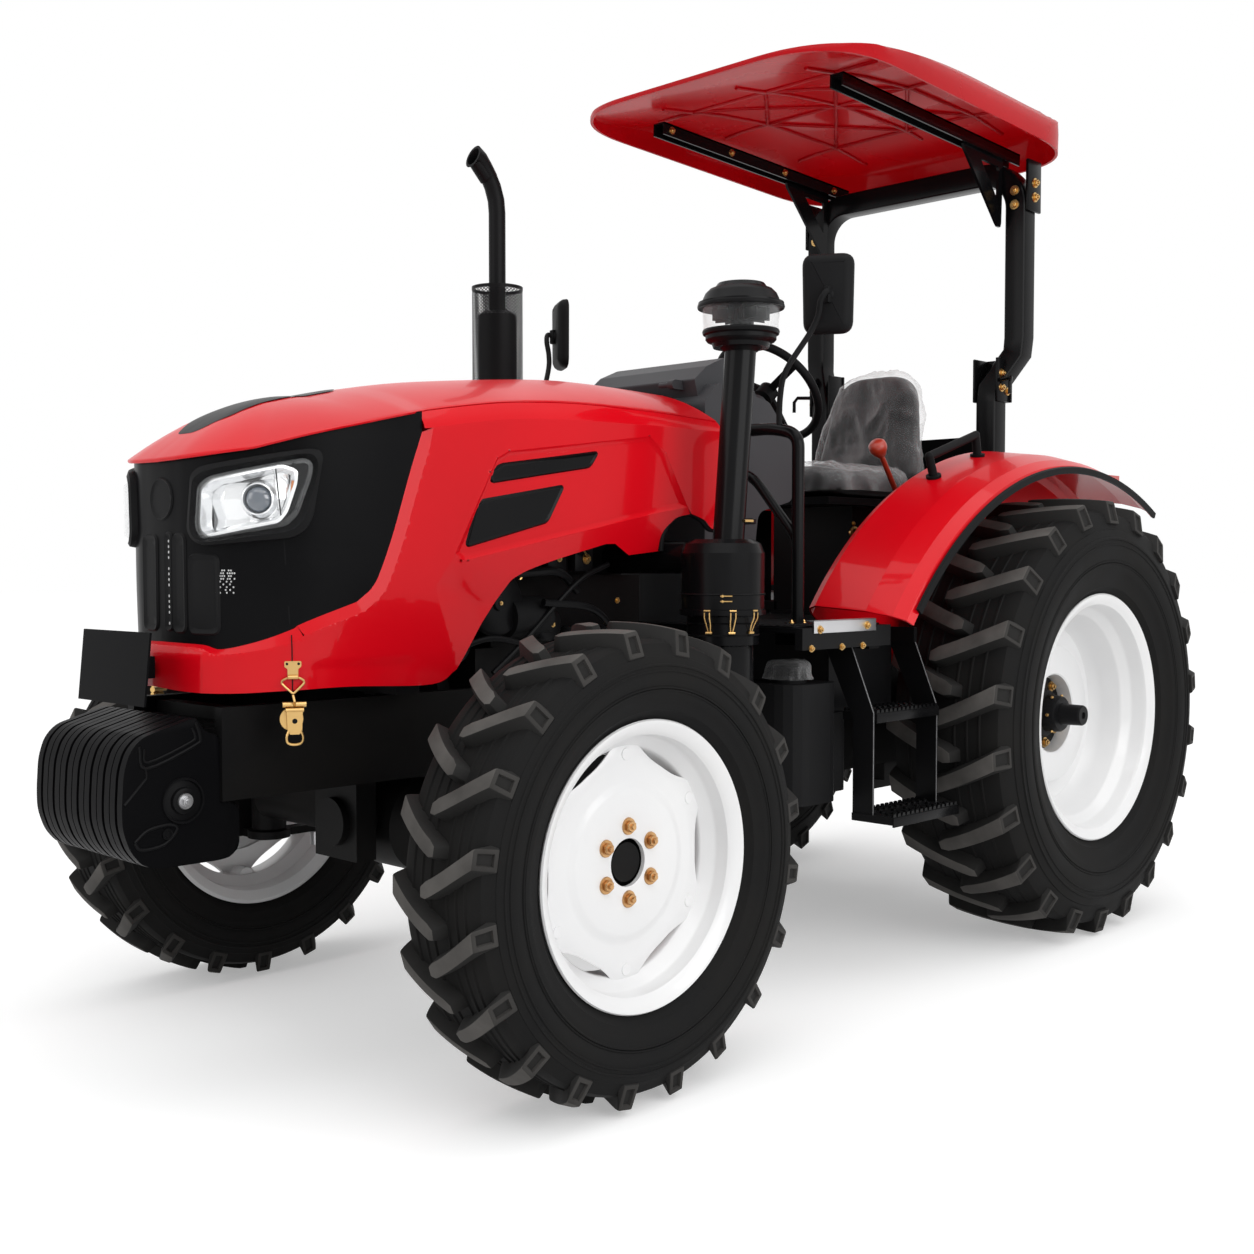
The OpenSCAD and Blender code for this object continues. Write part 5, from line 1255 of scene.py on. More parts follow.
bar = {
    "tube": 0.04, "soft": 0.012, "bend": 0.13,
    "path": [(-2.357, 0.3665, 0.828), (-2.357, 0.3665, 1.80), (-2.36, 0.370, 1.85), (-2.42, 0.434, 1.975),
             (-2.423, 0.438, 2.03), (-2.423, 0.438, 2.49)],
    "rail": (-0.06, 1.02, 0.35, 0.40, -0.002, 0.040), "railBolts": [0.04, 0.35, 0.66, 0.98],
    "postBolts": [2.57, 2.52], "lowBolts": [1.90, 1.85],
    "gusset": [(0.035, 0.0), (0.30, 0.0), (0.30, -0.012), (0.06, -0.24), (0.035, -0.24)],
    "opening": [(0.062, -0.03), (0.185, -0.03), (0.062, -0.150)], "gussetY": (0.378, 0.388),
    "plates": [(-2.41, -2.318, 0.41, 0.005, 1.80, 1.955, 0.004),
               (-2.408, -2.316, 0.32, 0.005, 1.80, 1.955, 0.004),
               (-2.41, -2.40, 0.3665, 0.055, 1.80, 1.955, 0.003),
               (-2.409, -2.305, 0.3665, 0.052, 0.828, 0.850, 0.003),
               (-2.478, -2.385, 0.484, 0.006, 2.47, 2.65,
                0.004)],   # x from and to, middle and half of y, z from and to, bevel
    "pin": [(-2.33, 0.415, 1.875), (-2.315, 0.47, 1.878), (-2.30, 0.475, 1.86), (-2.30, 0.475, 1.82)],
}


def addSquareTube(bm, path, half, soft):   # a square tube whose one face stays square to x
    corner = rounded([(-half, -half), (half, -half), (half, half), (-half, half)], soft, 3)
    points = [place(p) for p in path]
    rings = []
    for k, p in enumerate(points):
        ahead = points[min(k + 1, len(points) - 1)] - points[max(k - 1, 0)]
        ahead.x = 0
        out = Vector((1, 0, 0)).cross(ahead.normalized())
        rings.append([p + Vector((a, 0, 0)) + out * b for a, b in corner])
    addRings(bm, rings)


def makeBar(look):
    bm = bmesh.new()
    left = list(look["path"])
    top = roof["hoop"][1] - look["tube"]
    bend = look["bend"]
    x, y = left[-1][0], left[-1][1]
    turn = [(x, y - bend + bend * math.cos(t), top - bend + bend * math.sin(t))
            for t in numpy.linspace(0, math.pi / 2, 12)]
    line = left + turn
    line += [(p[0], -p[1], p[2]) for p in line[::-1]]
    addSquareTube(bm, line, look["tube"], look["soft"])
    u0, u1, y0, y1, w0, w1 = look["rail"]
    for s in (-1, 1):
        for (a, b), (c, d) in (((y0, y1), (w1 - 0.006, w1)), ((y0, y0 + 0.006), (w0, w1)),
                               ((y1 - 0.006, y1), (w0, w1))):
            rings = []
            for u in (u0, u1):
                rings.append([place(roofSpot(u, s * p, q)) for p, q in ((a, c), (b, c), (b, d), (a, d))])
            addRings(bm, rings)
        outer, inner = resample(rounded(look["gusset"], 0.008, 3),
                                48), resample(rounded(look["opening"], 0.008, 8), 48)
        start = min(range(48), key=lambda k: (Vector(inner[k]) - Vector(outer[0])).length)
        inner = inner[start:] + inner[:start]
        area = sum(a[0] * b[1] - b[0] * a[1] for a, b in zip(outer, outer[1:] + outer[:1]))
        other = sum(a[0] * b[1] - b[0] * a[1] for a, b in zip(inner, inner[1:] + inner[:1]))
        if area * other < 0:
            inner = inner[:1] + inner[:0:-1]
        v0, v1 = look["gussetY"]
        rings = [[place(roofSpot(u, s * v, w)) for u, w in line]
                 for line, v in ((outer, v0), (outer, v1), (inner, v1), (inner, v0), (outer, v0))]
        addRings(bm, rings, caps=False)
        for xa, xb, mid, half, za, zb, soft in look["plates"]:
            addBlock(bm, (xa, s * mid - half, za), (xb, s * mid + half, zb), soft)
        addTube(bm, [(px, s * py, pz) for px, py, pz in look["pin"]], 0.007, 8)
    addPiece("rollBar", bm, "glossBlack", "chassis", sharp=32, replaced=("rops",))
    bm = bmesh.new()
    for s in (-1, 1):
        for u in look["railBolts"]:
            addBolt(bm, roofSpot(u, s * y0, 0.018), (0, -s, 0), 0.009)
        for z in look["postBolts"]:
            addBolt(bm, (-2.43, s * 0.490, z), (0, s, 0), 0.012)
            addBolt(bm, (-2.383, s * 0.438, z - 0.025), (1, 0, 0), 0.012)
        for z in look["lowBolts"]:
            addBolt(bm, (-2.345, s * 0.415, z), (0, s, 0), 0.011)
            addBolt(bm, (-2.385, s * 0.415, z - 0.012), (0, s, 0), 0.010)
    addPiece("rollBarBolts", bm, "zincGold", "chassis")


makeRoof(roof)
makeBar(bar)
print("roof and roll bar made")


# exhaust, intake and mirrors

stack = {
    "at": (-0.770, -0.493), "guard": (0.081, 1.495, 2.105), "body": (0.062, 1.48, 2.03), "pipe": 0.027,
    "cells": 40, "hole": 0.62,
    "hem": [(-0.002, -0.006), (0.001, -0.006), (0.001, 0.004), (-0.002, 0.004), (-0.002, -0.006)],
    "path": [(0, 2.02), (0, 2.2), (0, 2.345), (0.004, 2.385), (0.018, 2.425), (0.040, 2.462)],
    "flare": [(0.030, 2.448, 1.0), (0.056, 2.480, 1.05), (0.078, 2.502, 1.12)], "mouth": (0.098, 2.506),
    "inlet": (-0.64, -0.215, 1.25),
}


def makeStack(look):
    x, y = look["at"]
    r, z0, z1 = look["guard"]
    bm = bmesh.new()   # expanded metal
    cells = look["cells"]
    wide = 2 * math.pi / cells
    rows = int((z1 - z0) / (r * wide * 0.8))
    tall = (z1 - z0) / rows
    for j in range(2 * rows - 1):
        for i in range(cells):
            t = wide * (i + 0.5 * (j % 2))
            z = z0 + tall * (0.5 + 0.5 * j)
            diamond = [(t - wide / 2, z), (t, z - tall / 2), (t + wide / 2, z), (t, z + tall / 2)]
            hole = [(t + (a - t) * look["hole"], z + (b - z) * look["hole"]) for a, b in diamond]
            ring = [[bm.verts.new(place((x + r * math.cos(a), y + r * math.sin(a), b))) for a, b in line]
                    for line in (diamond, hole)]
            for k in range(4):
                n = (k + 1) % 4
                bm.faces.new((ring[0][k], ring[0][n], ring[1][n], ring[1][k]))
    for z in (z0, z1):
        addRings(bm, spin([(r + a, z + b) for a, b in look["hem"]], (x, y, 0), (0, 0, 1), 48), caps=False)
    addPiece("stackGuard", bm, "satinBlack", "chassis", sharp=30, replaced=("muffler",))
    bm = bmesh.new()
    r, z0, z1 = look["body"]
    addLathe(bm, [(0.03, z0 - 0.004), (r - 0.006, z0), (r, z0 + 0.01), (r, z1 - 0.012), (r - 0.012, z1),
                  (0.03, z1 + 0.004)], (x, y, 0), (0, 0, 1), 40)
    p = look["pipe"]
    addTube(bm, [(x + a, y, z) for a, z in look["path"]], p, 24)
    rings = []
    for a, z, k in look["flare"]:
        q = p * k
        rings.append([place((x + a - 0.72 * q * math.cos(t), y + q * math.sin(t), z + 0.72 * q * math.cos(t)))
                      for t in around(24)])
    mx, mz = look["mouth"]   # cut off aslant
    cut = [place((x + mx - 1.35 * p * math.cos(t) * 0.42, y + p * 1.15 * math.sin(t),
                  mz + p * 1.35 * math.cos(t))) for t in around(24)]
    inner = [v + (w - v) * 0.12 for v, w in zip(cut, cut[12:] + cut[:12])]
    deep = [v - Vector((0.05, 0, 0.05)) for v in inner]
    addRings(bm, rings + [cut, inner, deep])
    addTube(bm, [look["inlet"], (x, y + 0.02, look["inlet"][2]), (x, y, 1.28)], 0.034, 18)
    addTube(bm, [(x, y, 1.22), (x, y, 1.5)], 0.036, 24)
    addPiece("stackPipes", bm, "satinBlack", "chassis", sharp=36)


intake = {
    "at": (-0.752, 0.537), "can": (-0.678, 0.537),
    "dish": [(0.046, 1.80), (0.062, 1.815), (0.092, 1.826), (0.097, 1.832), (0.097, 1.842), (0.104, 1.846),
             (0.106, 1.853), (0.104, 1.858),
             (0.02, 1.862)],
    "dome": [(0.030, 1.914), (0.112, 1.918), (0.118, 1.916), (0.1195, 1.921), (0.118, 1.927), (0.106, 1.938),
             (0.098, 1.956), (0.086, 1.968),
             (0.062, 1.977), (0.03, 1.983), (0.008, 1.984), (0.007, 1.990), (0.001, 1.991)],
    "core": [(0.030, 1.856), (0.0305, 1.916)], "vanes": 12, "vaneZ": (1.884, 1.917),
    "vane": [(0.030, -0.002), (0.075, 0.016), (0.076, 0.019), (0.030, 0.002)],
    "bowl": [(0.098, 1.856), (0.1035, 1.860), (0.1055, 1.90), (0.1055, 1.918), (0.1030, 1.918),
             (0.1030, 1.90), (0.1010, 1.862), (0.098, 1.859)],
    "bands": [(1.140, 0.1142), (1.062, 0.0985), (1.030, 0.0985)],
    "band": [(-0.002, -0.003), (0.001, -0.002), (0.0025, 0), (0.001, 0.002), (-0.002, 0.003)],
    "collar": [(0.044, 1.33), (0.046, 1.332), (0.046, 1.344), (0.044, 1.346)],
    "clips": (20, 54, 88), "clip": [(0.1195, 1, 1.092), (0.1190, 1, 1.078), (0.108, 0.8, 1.058),
                                    (0.1015, 0.4, 1.040)],
    "clipBars": [(0.1025, 1.038, 0.0036), (0.1165, 1.097, 0.0026)], "clamp": 46, "clampZ": (1.136, 1.122),
}


def makeIntake(look):
    x, y = look["at"]
    bm = bmesh.new()
    addLathe(bm, look["dish"], (x, y, 0), (0, 0, 1), 56)
    addLathe(bm, look["dome"], (x, y, 0), (0, 0, 1), 56)
    addLathe(bm, look["core"], (x, y, 0), (0, 0, 1), 32)
    for t in around(look["vanes"]):
        c, s = math.cos(t), math.sin(t)
        addRings(bm, [[place((x + c * a - s * b, y + s * a + c * b, z)) for a, b in look["vane"]]
                      for z in look["vaneZ"]])
    addPiece("intakeCap", bm, "satinBlack", "chassis", sharp=35)
    bm = bmesh.new()
    addLathe(bm, look["bowl"], (x, y, 0), (0, 0, 1), 56)
    addPiece("intakeBowl", bm, "clearLens", "chassis", sharp=60, replaced=("precleaner_bowl",))
    cx, cy = look["can"]

    def onCan(degrees, r, d, z):   # r out from the canister's middle and d along its round
        c, s = math.cos(math.radians(degrees)), math.sin(math.radians(degrees))
        return cx + c * r - s * d, cy + s * r + c * d, z
    bm = bmesh.new()
    for z, r in look["bands"]:
        addLathe(bm, [(r + a, z + b) for a, b in look["band"]], (cx, cy, 0), (0, 0, 1), 64)
    addLathe(bm, look["collar"], (x + 0.005, y, 0), (0, 0, 1), 32)
    addPiece("canisterBands", bm, "satinBlack", "chassis", sharp=40)
    bm = bmesh.new()
    for degrees in look["clips"]:
        for d in (-0.007, 0.007):
            addTube(bm, [onCan(degrees, r, d * w, z) for r, w, z in look["clip"]], 0.0017, 6)
        for r, z, thick in look["clipBars"]:
            addTube(bm, [onCan(degrees, r, d, z) for d in (-0.009, 0.009)], thick, 8)
    t = math.radians(look["clamp"])
    for z in look["clampZ"]:
        addTube(bm, [onCan(look["clamp"], 0.1165, d, z) for d in (-0.018, 0.014)], 0.002, 6)
        addBolt(bm, onCan(look["clamp"], 0.1165, -0.012, z), (math.cos(t), math.sin(t), 0), 0.004, False)
    addTube(bm, [(x + 0.008, y + 0.050, 1.338), (x + 0.038, y + 0.046, 1.338)], 0.004, 8)
    addPiece("canisterClips", bm, "zincGold", "chassis")


mirror = {"at": (-1.114, 0.562), "turn": 32, "wide": 0.152, "z": (1.886, 2.118)}


def makeMirrors(look):
    x, y = look["at"]
    t = math.radians(look["turn"])
    ahead, side = Vector((math.cos(t), math.sin(t), 0)), Vector((-math.sin(t), math.cos(t), 0))
    (z0, z1), h = look["z"], look["wide"] / 2
    line = resample(rounded([(-h * 0.94, z0), (h * 0.94, z0), (h, z1), (-h, z1)], 0.036, 8), 72)
    mid = (z0 + z1) / 2

    def ring(shrink, depth):
        return [place(Vector((x, y, 0)) + side * a + ahead * depth + Vector((0, 0, b)))
                for a, b in inset(line, shrink)]
    bm = bmesh.new()
    addRings(bm, [ring(0.006, -0.016), ring(0.001, -0.014), ring(0.0, -0.010), ring(0.002, 0.002),
                  ring(0.009, 0.012), ring(0.020, 0.018), ring(0.030, 0.020)])
    ball = Vector((x, y, mid - 0.005)) + ahead * 0.022
    arm = [(-0.968, 0.50, 1.602), (-0.970, 0.502, 1.70), (-0.985, 0.512, 1.775), (-1.045, 0.548, 1.88),
           (-1.062, 0.565, 1.93), (-1.062, 0.575, 1.975),
           tuple(ball + ahead * 0.022 + Vector((0, 0, 0.004))), tuple(ball)]
    addTube(bm, smoothLine(arm, 6), 0.0085, 12)
    addLathe(bm, [(0.018, -0.004), (0.018, 0.004), (0.012, 0.008), (0.002, 0.009)],
             tuple(ball - ahead * 0.004), ahead, 24)
    addBlock(bm, tuple(ball + Vector((-0.008, -0.008, -0.026))), tuple(ball + Vector((0.012, 0.012, 0.022))),
             0.004)
    addPiece("mirrorShells", bm, "moulded", "chassis", sharp=40, replaced=("mirrors",), paired=True)
    bm = bmesh.new()
    bm.faces.new([bm.verts.new(p) for p in ring(0.008, -0.0165)])
    addPiece("mirrorPanes", bm, "mirrorGlass", "chassis", paired=True)


rails = {"x": -0.98, "y": 0.56, "floor": 1.046, "tube": 0.018}


def makeRails(look):
    x, y, z, r = look["x"], look["y"], look["floor"], look["tube"]
    bm = bmesh.new()
    addTube(bm, bendLine([(x, y, z), (x, y, 1.59), (x + 0.01, 0.48, 1.61), (x + 0.01, 0.272, 1.61)], 0.09, 8),
            r, 18)
    addTube(bm, bendLine([(x, y, 1.24), (x, y - 0.01, 1.30), (x + 0.01, 0.40, 1.48), (x + 0.01, 0.30, 1.50),
                          (x + 0.01, 0.272, 1.50)], 0.06, 6), r * 0.8, 16)
    addLathe(bm, [(0.040, 0.0), (0.040, 0.007), (0.038, 0.008), (0.018, 0.008)], (x, y, z), (0, 0, 1), 28)
    addPiece("handRails", bm, "glossBlack", "chassis", sharp=40, replaced=("handrails",), paired=True)
    bm = bmesh.new()
    for dx in (0.028, -0.028):
        addBolt(bm, (x + dx, y, z + 0.008), (0, 0, 1), 0.006)
    addPiece("railBolts", bm, "zincGold", "chassis", paired=True)


makeStack(stack)
makeIntake(intake)
makeMirrors(mirror)
makeRails(rails)
print("exhaust, intake and mirrors made")


# soft seat under its film

seat = {
    "back": {"low": 1.475, "high": 1.905, "halfLow": 0.225, "halfHigh": 0.150, "thick": 0.052,
             "foot": (-2.105, 1.475), "head": (-2.195, 1.905),
             "seams": [[(-0.13, 1.80), (0.13, 1.80)], [(-0.14, 1.52), (-0.115, 1.68), (-0.125, 1.80),
                                                       (-0.10, 1.88)],
                       [(0.14, 1.52), (0.115, 1.68), (0.125, 1.80), (0.10, 1.88)],
                       [(-0.115, 1.66), (0.115, 1.66)]]},
    "pad": {"x": (-2.06, -1.56), "half": 0.232, "z": (1.448, 1.535),
            "seams": [[(-2.02, -0.14), (-1.62, -0.15)], [(-2.02, 0.14), (-1.62, 0.15)],
                      [(-1.80, -0.15), (-1.80, 0.15)]]},
    "voxel": 0.009, "push": 5.0, "limit": 0.018,
}


def bake(piece):
    made = bpy.data.meshes.new_from_object(piece.evaluated_get(bpy.context.evaluated_depsgraph_get()))
    piece.modifiers.clear()
    piece.data = made


def plump(piece, held, look):   # remeshed and blown up like foam under a cover, held in along the seams
    grid = piece.modifiers.new("grid", "REMESH")
    grid.mode = "VOXEL"
    grid.voxel_size = look["voxel"]
    bake(piece)
    group = piece.vertex_groups.new(name="held")
    group.add([v.index for v in piece.data.vertices if held(v.co - axleShift, v.normal)], 1.0, "REPLACE")
    rest = [v.co.copy() for v in piece.data.vertices]
    cloth = piece.modifiers.new("cover", "CLOTH")
    cloth.settings.use_pressure = True
    cloth.settings.uniform_pressure_force = look["push"]
    cloth.settings.effector_weights.gravity = 0
    cloth.settings.vertex_group_mass = "held"
    for frameNumber in range(1, 21):
        scene.frame_set(frameNumber)
    bake(piece)
    scene.frame_set(1)
    for v, r in zip(piece.data.vertices, rest):
        move = v.co - r
        if move.length > look["limit"]:
            v.co = r + move * (look["limit"] / move.length)
    for face in piece.data.polygons:
        face.use_smooth = True


def nearLine(p, line, reach):
    q = Vector(p)
    for a, b in zip(line, line[1:]):
        a, b = Vector(a), Vector(b)
        t = max(0, min(1, (q - a).dot(b - a) / (b - a).length_squared))
        if (a + (b - a) * t - q).length < reach:
            return True
    return False


def makeSeat(look):
    back, pad = look["back"], look["pad"]
    bm = bmesh.new()
    outline = resample(rounded([(-back["halfLow"], back["low"]), (back["halfLow"], back["low"]),
                                (back["halfHigh"], back["high"]),
                                (-back["halfHigh"], back["high"])], 0.10, 10), 96)
    mid = (back["low"] + back["high"]) / 2

    def lean(z):
        t = (z - back["foot"][1]) / (back["head"][1] - back["foot"][1])
        return back["foot"][0] + (back["head"][0] - back["foot"][0]) * t
    rings = []
    for t, d in ((0.1, -1), (0.6, -1), (0.9, -0.92), (0.97, -0.7), (1.0, -0.3), (1.0, 0.3), (0.97, 0.7),
                 (0.9, 0.92), (0.6, 1), (0.1, 1)):
        rings.append([place((lean(mid + (z - mid) * t) + d * back["thick"], y * t, mid + (z - mid) * t))
                      for y, z in outline])
    addRings(bm, rings)
    piece = addPiece("seatBack", bm, "seatVinyl", "chassis", sharp=60, replaced=("seat_cushions",))
    plump(piece, lambda p, n: n.x < 0.3 or any(nearLine((p.y, p.z), line, 0.006) for line in back["seams"]),
          look)

    bm = bmesh.new()
    (x0, x1), h, (z0, z1) = pad["x"], pad["half"], pad["z"]
    outline = resample(rounded([(x0, -h), (x1, -h), (x1, h), (x0, h)], 0.09, 10), 96)
    centre = (x0 + x1) / 2
    rings = []
    for t, z in ((0.1, z0), (0.9, z0), (0.98, z0 + 0.006), (1.0, z0 + 0.03), (1.0, z1 - 0.04),
                 (0.975, z1 - 0.012), (0.92, z1), (0.6, z1 - 0.006), (0.1, z1 - 0.008)):
        rings.append([place((centre + (x - centre) * t, y * t, z + 0.012 * max(0, (x - centre) / 0.25) ** 2))
                      for x, y in outline])
    addRings(bm, rings)
    other = addPiece("seatPad", bm, "seatVinyl", "chassis", sharp=60)
    plump(other, lambda p, n: n.z < 0.3 or any(nearLine((p.x, p.y), line, 0.006) for line in pad["seams"]),
          look)
    return piece, other


def crumple(p, along):
    q = Vector((p.x * along[0], p.y * along[1], p.z * along[2]))
    a = 1 - abs(noise.noise(q * 9))
    b = 1 - abs(noise.noise(q * 21 + Vector((3.1, 7.7, 1.3))))
    return max(0, a - 0.55) * 1.6 + max(0, b - 0.6) * 0.8


def makeFilm(name, source, keep, along, tuck):
    bm = bmesh.new()
    bm.from_mesh(source.data)
    gone = [f for f in bm.faces if not keep(f.calc_center_median() - axleShift, f.normal)]
    bmesh.ops.delete(bm, geom=gone, context="FACES")
    for v in bm.verts:
        p = v.co - axleShift
        v.co += v.normal * (0.005 + 0.022 * crumple(v.co, along)) + tuck(p)
    area = round(sum(f.calc_area() for f in bm.faces), 3)
    piece = addPiece(name, bm, "clearFilm", "chassis", sharp=180)
    print(name, "film area", area)


def backLoose(p):   # the film stands off at the upper left and the lower right
    upper = Vector((0, 0.35, 0.12)) * max(0, p.y - 0.10) * max(0, p.z - 1.72) * 4
    return upper + Vector((0, -0.2, 0)) * max(0, -p.y - 0.12) * max(0, 1.72 - p.z) * 4


seatBack, seatPad = makeSeat(seat)
makeFilm("backFilm", seatBack, lambda p, n: p.z > 1.52, (1, 1, 0.45), backLoose)
makeFilm("padFilm", seatPad, lambda p, n: p.z > 1.475 and p.x > -2.02, (0.6, 1, 1),
         lambda p: Vector((0.02, 0, -0.01)) * max(0, (p.x + 1.62) * 8))
print("seat made")


# platform, steps and small fittings of the sides

deck = {"strip": (-1.162, -0.868, 1.031, 1.066), "bolts": [(-0.894, 1.041), (-1.117, 1.047)], "stepX": -1.25,
        "stepHalf": 0.16,
        "face": 0.7035, "lowBolts": (-0.86, -1.0, -1.1), "mat": [(-1.24, 0.30), (-0.83, 0.30), (-0.83, 0.668),
                                                                 (-1.24, 0.668)],
        "ribs": 13, "treads": [(0.800, 0.640, 0.756, 0.0), (0.512, 0.680, 0.820, 0.010)], "teeth": 15,
        "studs": (3, 11),
        "stud": [(0.0085, -0.002), (0.0075, 0.005), (0.0055, 0.006), (0.0048, 0.0)],
        "edge": [(0.674, 0.986), (0.7505, 0.80), (0.7505, 0.49)]}


def makeDeck(look):
    x0, x1, z0, z1 = look["strip"]
    bm = bmesh.new()
    addBlock(bm, (x0, 0.7005, z0), (x1, look["face"], z1), 0.001)
    addBlock(bm, (x0, 0.672, z1 - 0.003), (x1, look["face"], z1), 0.001)
    addPiece("deckStrips", bm, "bareSteel", "chassis", paired=True)
    bm = bmesh.new()
    for x, z in look["bolts"]:
        addBolt(bm, (x, look["face"], z), (0, 1, 0), 0.008)
    for x in look["lowBolts"]:
        addBolt(bm, (x, 0.700, 0.99), (0, 1, 0), 0.007)
    addPiece("deckBolts", bm, "zincGold", "chassis", paired=True)
    bm = bmesh.new()   # mat with ribs
    addPlate(bm, rounded(look["mat"], 0.02), "z", 1.0462, 1.0502, 0.001)
    for k in range(look["ribs"]):
        y = 0.325 + 0.026 * k
        addBlock(bm, (-1.22, y, 1.0500), (-0.85, y + 0.010, 1.0525), 0.0008)
    addPiece("deckMats", bm, "softRubber", "chassis", paired=True)

    bm = bmesh.new()   # plate behind the steps
    addBlock(bm, (look["stepX"] - look["stepHalf"], 0.585, 0.79),
             (look["stepX"] + look["stepHalf"], 0.590, 0.985), 0.002)
    addPiece("stepBacks", bm, "satinBlack", "chassis", paired=True)

    bm = bmesh.new()   # serrated treads
    for z, y0, y1, more in look["treads"]:
        wide, count = look["stepHalf"] + more, look["teeth"]
        for side in (y0 + 0.004, y1 - 0.004):
            for k in range(count):
                x = look["stepX"] - wide + (k + 0.5) * 2 * wide / count
                w = wide / count
                addPlate(bm, [(x - w * 0.8, z - 0.003), (x + w * 0.8, z - 0.003), (x + w * 0.45, z + 0.009),
                              (x - w * 0.45, z + 0.009)], "y", side - 0.003, side + 0.003)
        rows, studs = look["studs"]
        for r in range(rows):
            for k in range(studs):
                x = look["stepX"] - wide + (k + 0.5 + 0.25 * (r % 2)) * 2 * wide / (studs + 0.5)
                y = y0 + (r + 1) * (y1 - y0) / (rows + 1)
                if r != 1 or k % 2:
                    addLathe(bm, look["stud"], (x, y, z), (0, 0, 1), 12)
        addBlock(bm, (look["stepX"] - wide, y1 - 0.002, z - 0.028),
                 (look["stepX"] + wide, y1 + 0.003, z - 0.001), 0.001)
    addPiece("stepTeeth", bm, "glossBlack", "chassis", sharp=25, paired=True)
    bm = bmesh.new()   # painted highlights along the edges of the step sides
    for s in (-1, 1):
        x = look["stepX"] + s * (look["stepHalf"] + 0.003)
        for a, b in zip(look["edge"], look["edge"][1:]):
            addTube(bm, [(x + 0.003, *a), (x + 0.003, *b)], 0.0016, 6)
    addPiece("stepEdges", bm, "edgeHighlight", "chassis", paired=True)


tank = {
    "cap": (-0.94, 0.56, 0.885), "grip": 0.046, "grips": 18,
    "lid": [(0.050, 0.0), (0.051, 0.012), (0.045, 0.020), (0.046, 0.044), (0.043, 0.050), (0.030, 0.056),
            (0.002, 0.058)],
    "film": [(0.012, 0.066), (0.035, 0.064), (0.050, 0.056), (0.056, 0.044), (0.057, 0.030), (0.060, 0.018),
             (0.066, 0.010)],
}


def makeTank(look):
    x, y, z = look["cap"]
    bm = bmesh.new()
    addLathe(bm, look["lid"], (x, y, z), (0, 0, 1), 40)
    r = look["grip"]
    for t in around(look["grips"]):
        addTube(bm, [(x + r * math.cos(t), y + r * math.sin(t), z + h) for h in (0.020, 0.044)], 0.0022, 6)
    addPiece("tankCap", bm, "moulded", "chassis", sharp=35)
    bm = bmesh.new()
    rings = []
    for r, h in look["film"]:
        ring = []
        for t in around(96):
            p = Vector((x + r * math.cos(t), y + r * math.sin(t), z + h))
            lift = 0.012 * crumple(p * 2.2, (1, 1, 0.6)) * min(1, r / 0.04)
            ring.append(place(p + Vector((math.cos(t), math.sin(t), 0.3)) * lift))
        rings.append(ring)
    addRings(bm, rings, caps=False)
    area = round(sum(f.calc_area() for f in bm.faces), 4)
    piece = addPiece("capFilm", bm, "clearFilm", "chassis", sharp=180)


bay = {
    "half": 0.225,
    "hoses": [([(-0.02, 0.02, 1.10), (0.03, 0.05, 1.16), (0.02, 0.04, 1.26), (-0.06, 0.02, 1.30)], 0.018),
              ([(-0.40, 0.03, 1.15), (-0.30, 0.06, 1.20), (-0.16, 0.05, 1.20), (-0.04, 0.02, 1.24)], 0.012),
              ([(-0.55, 0.04, 1.02), (-0.42, 0.07, 1.10), (-0.25, 0.06, 1.12)], 0.010),
              ([(-0.50, 0.05, 1.22), (-0.36, 0.07, 1.17), (-0.2, 0.04, 1.02), (-0.1, 0.03, 0.94)], 0.007),
              ([(0.05, 0.015, 0.99), (-0.1, 0.035, 1.03), (-0.3, 0.045, 0.98)], 0.008)],
    "pulleys": [(-0.12, 1.12, 0.085), (-0.30, 1.06, 0.045), (0.02, 1.02, 0.05)],
    "bolts": [(-0.12, 1.12), (-0.30, 1.06), (-0.43, 1.235), (-0.33, 1.235), (-0.23, 1.235), (-0.5, 1.0),
              (-0.2, 0.97), (0.02, 1.02),
              (0.06, 1.2), (-0.55, 1.12)],
    "line": [(-0.43, 0.045, 1.24), (-0.36, 0.07, 1.27), (-0.25, 0.06, 1.25), (-0.18, 0.045, 1.18)],
}


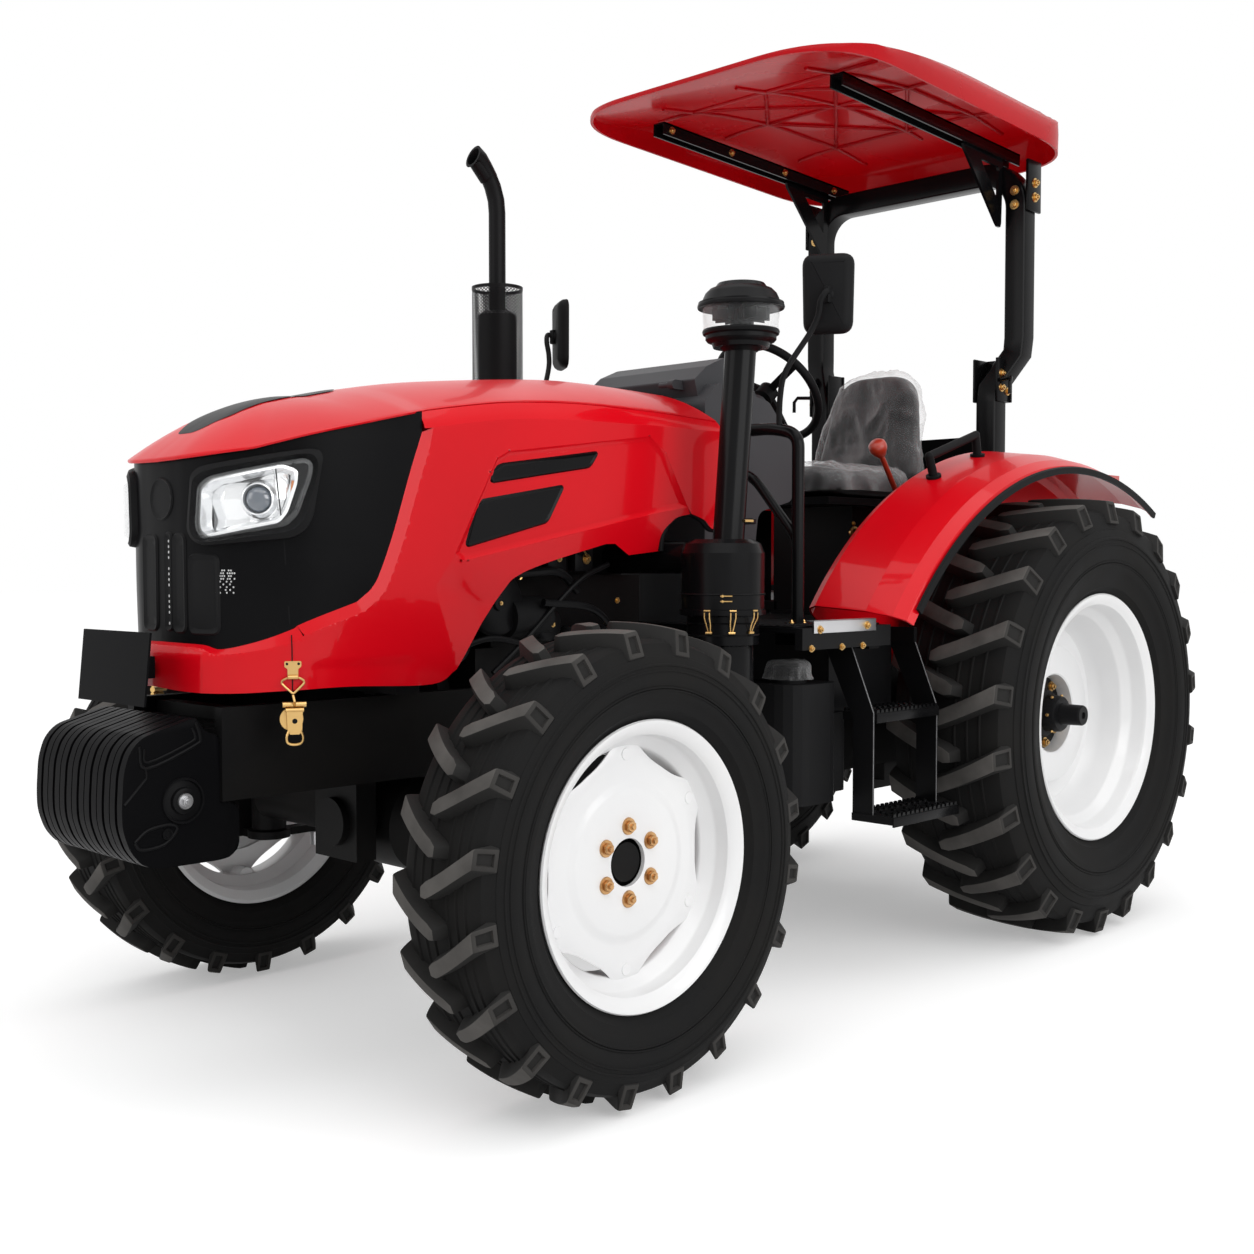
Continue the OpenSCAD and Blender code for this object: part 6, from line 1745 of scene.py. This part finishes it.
def makeBay(look):
    h = look["half"]
    bm = bmesh.new()   # hoses and lines
    for path, r in look["hoses"]:
        addTube(bm, smoothLine([(x, h + d, z) for x, d, z in path], 8), r, 10)
    for x, z, r in look["pulleys"]:
        addLathe(bm, [(0.012, 0.0), (r - 0.008, 0.002), (r, 0.006), (r - 0.012, 0.014), (r, 0.022),
                      (r - 0.006, 0.026), (0.02, 0.026), (0.018, 0.034), (0.002, 0.036)],
                 (x, h + 0.004, z), (0, 1, 0), 36)
    for k in range(4):
        addBlock(bm, (-0.46 + 0.1 * k, h, 1.20), (-0.39 + 0.1 * k, h + 0.035, 1.27), 0.008)
    addPiece("bayHoses", bm, "satinBlack", "chassis", sharp=35, paired=True)
    bm = bmesh.new()
    for k, (x, z) in enumerate(look["bolts"]):
        addBolt(bm, (x, h + 0.036, z), (0, 1, 0), 0.006 + 0.002 * (k % 3))
    addTube(bm, smoothLine([(x, h + d, z) for x, d, z in look["line"]], 8), 0.003, 6)
    addPiece("bayFittings", bm, "zincGold", "chassis", paired=True)


lever = {"foot": (-1.84, 0.3305, 1.43), "knob": (-1.68, 0.3505, 1.60)}


def makeLever(look):
    bm = bmesh.new()
    a, b = Vector(look["foot"]), Vector(look["knob"])
    addTube(bm, [a, a + (b - a) * 0.5, b], [0.0095, 0.009, 0.009], 12)
    ahead = (b - a).normalized()
    addLathe(bm, [(0.012, -0.034), (0.018, -0.026), (0.029, -0.004), (0.030, 0.006), (0.028, 0.018),
                  (0.020, 0.026), (0.002, 0.029)], tuple(b), ahead, 28)
    addPiece("leverKnob", bm, "leverOrange", "chassis")
    bm = bmesh.new()
    for y in (0.15, -0.15):
        addTube(bm, [(-1.10, y, 1.26), (-1.12, y, 1.20)], 0.004, 6)
    addLathe(bm, [(0.016, 0), (0.020, 0.003), (0.020, 0.012), (0.014, 0.014), (0.012, 0.006), (0.002, 0.006)],
             (-1.785, 0.175, 1.33), (0.2, 1, 0), 28)
    addBolt(bm, (-1.785, 0.178, 1.36), (0, 1, 0), 0.006)
    addPiece("seatFittings", bm, "zincGold", "chassis")


makeDeck(deck)
makeTank(tank)
makeBay(bay)
makeLever(lever)
print("sides made")
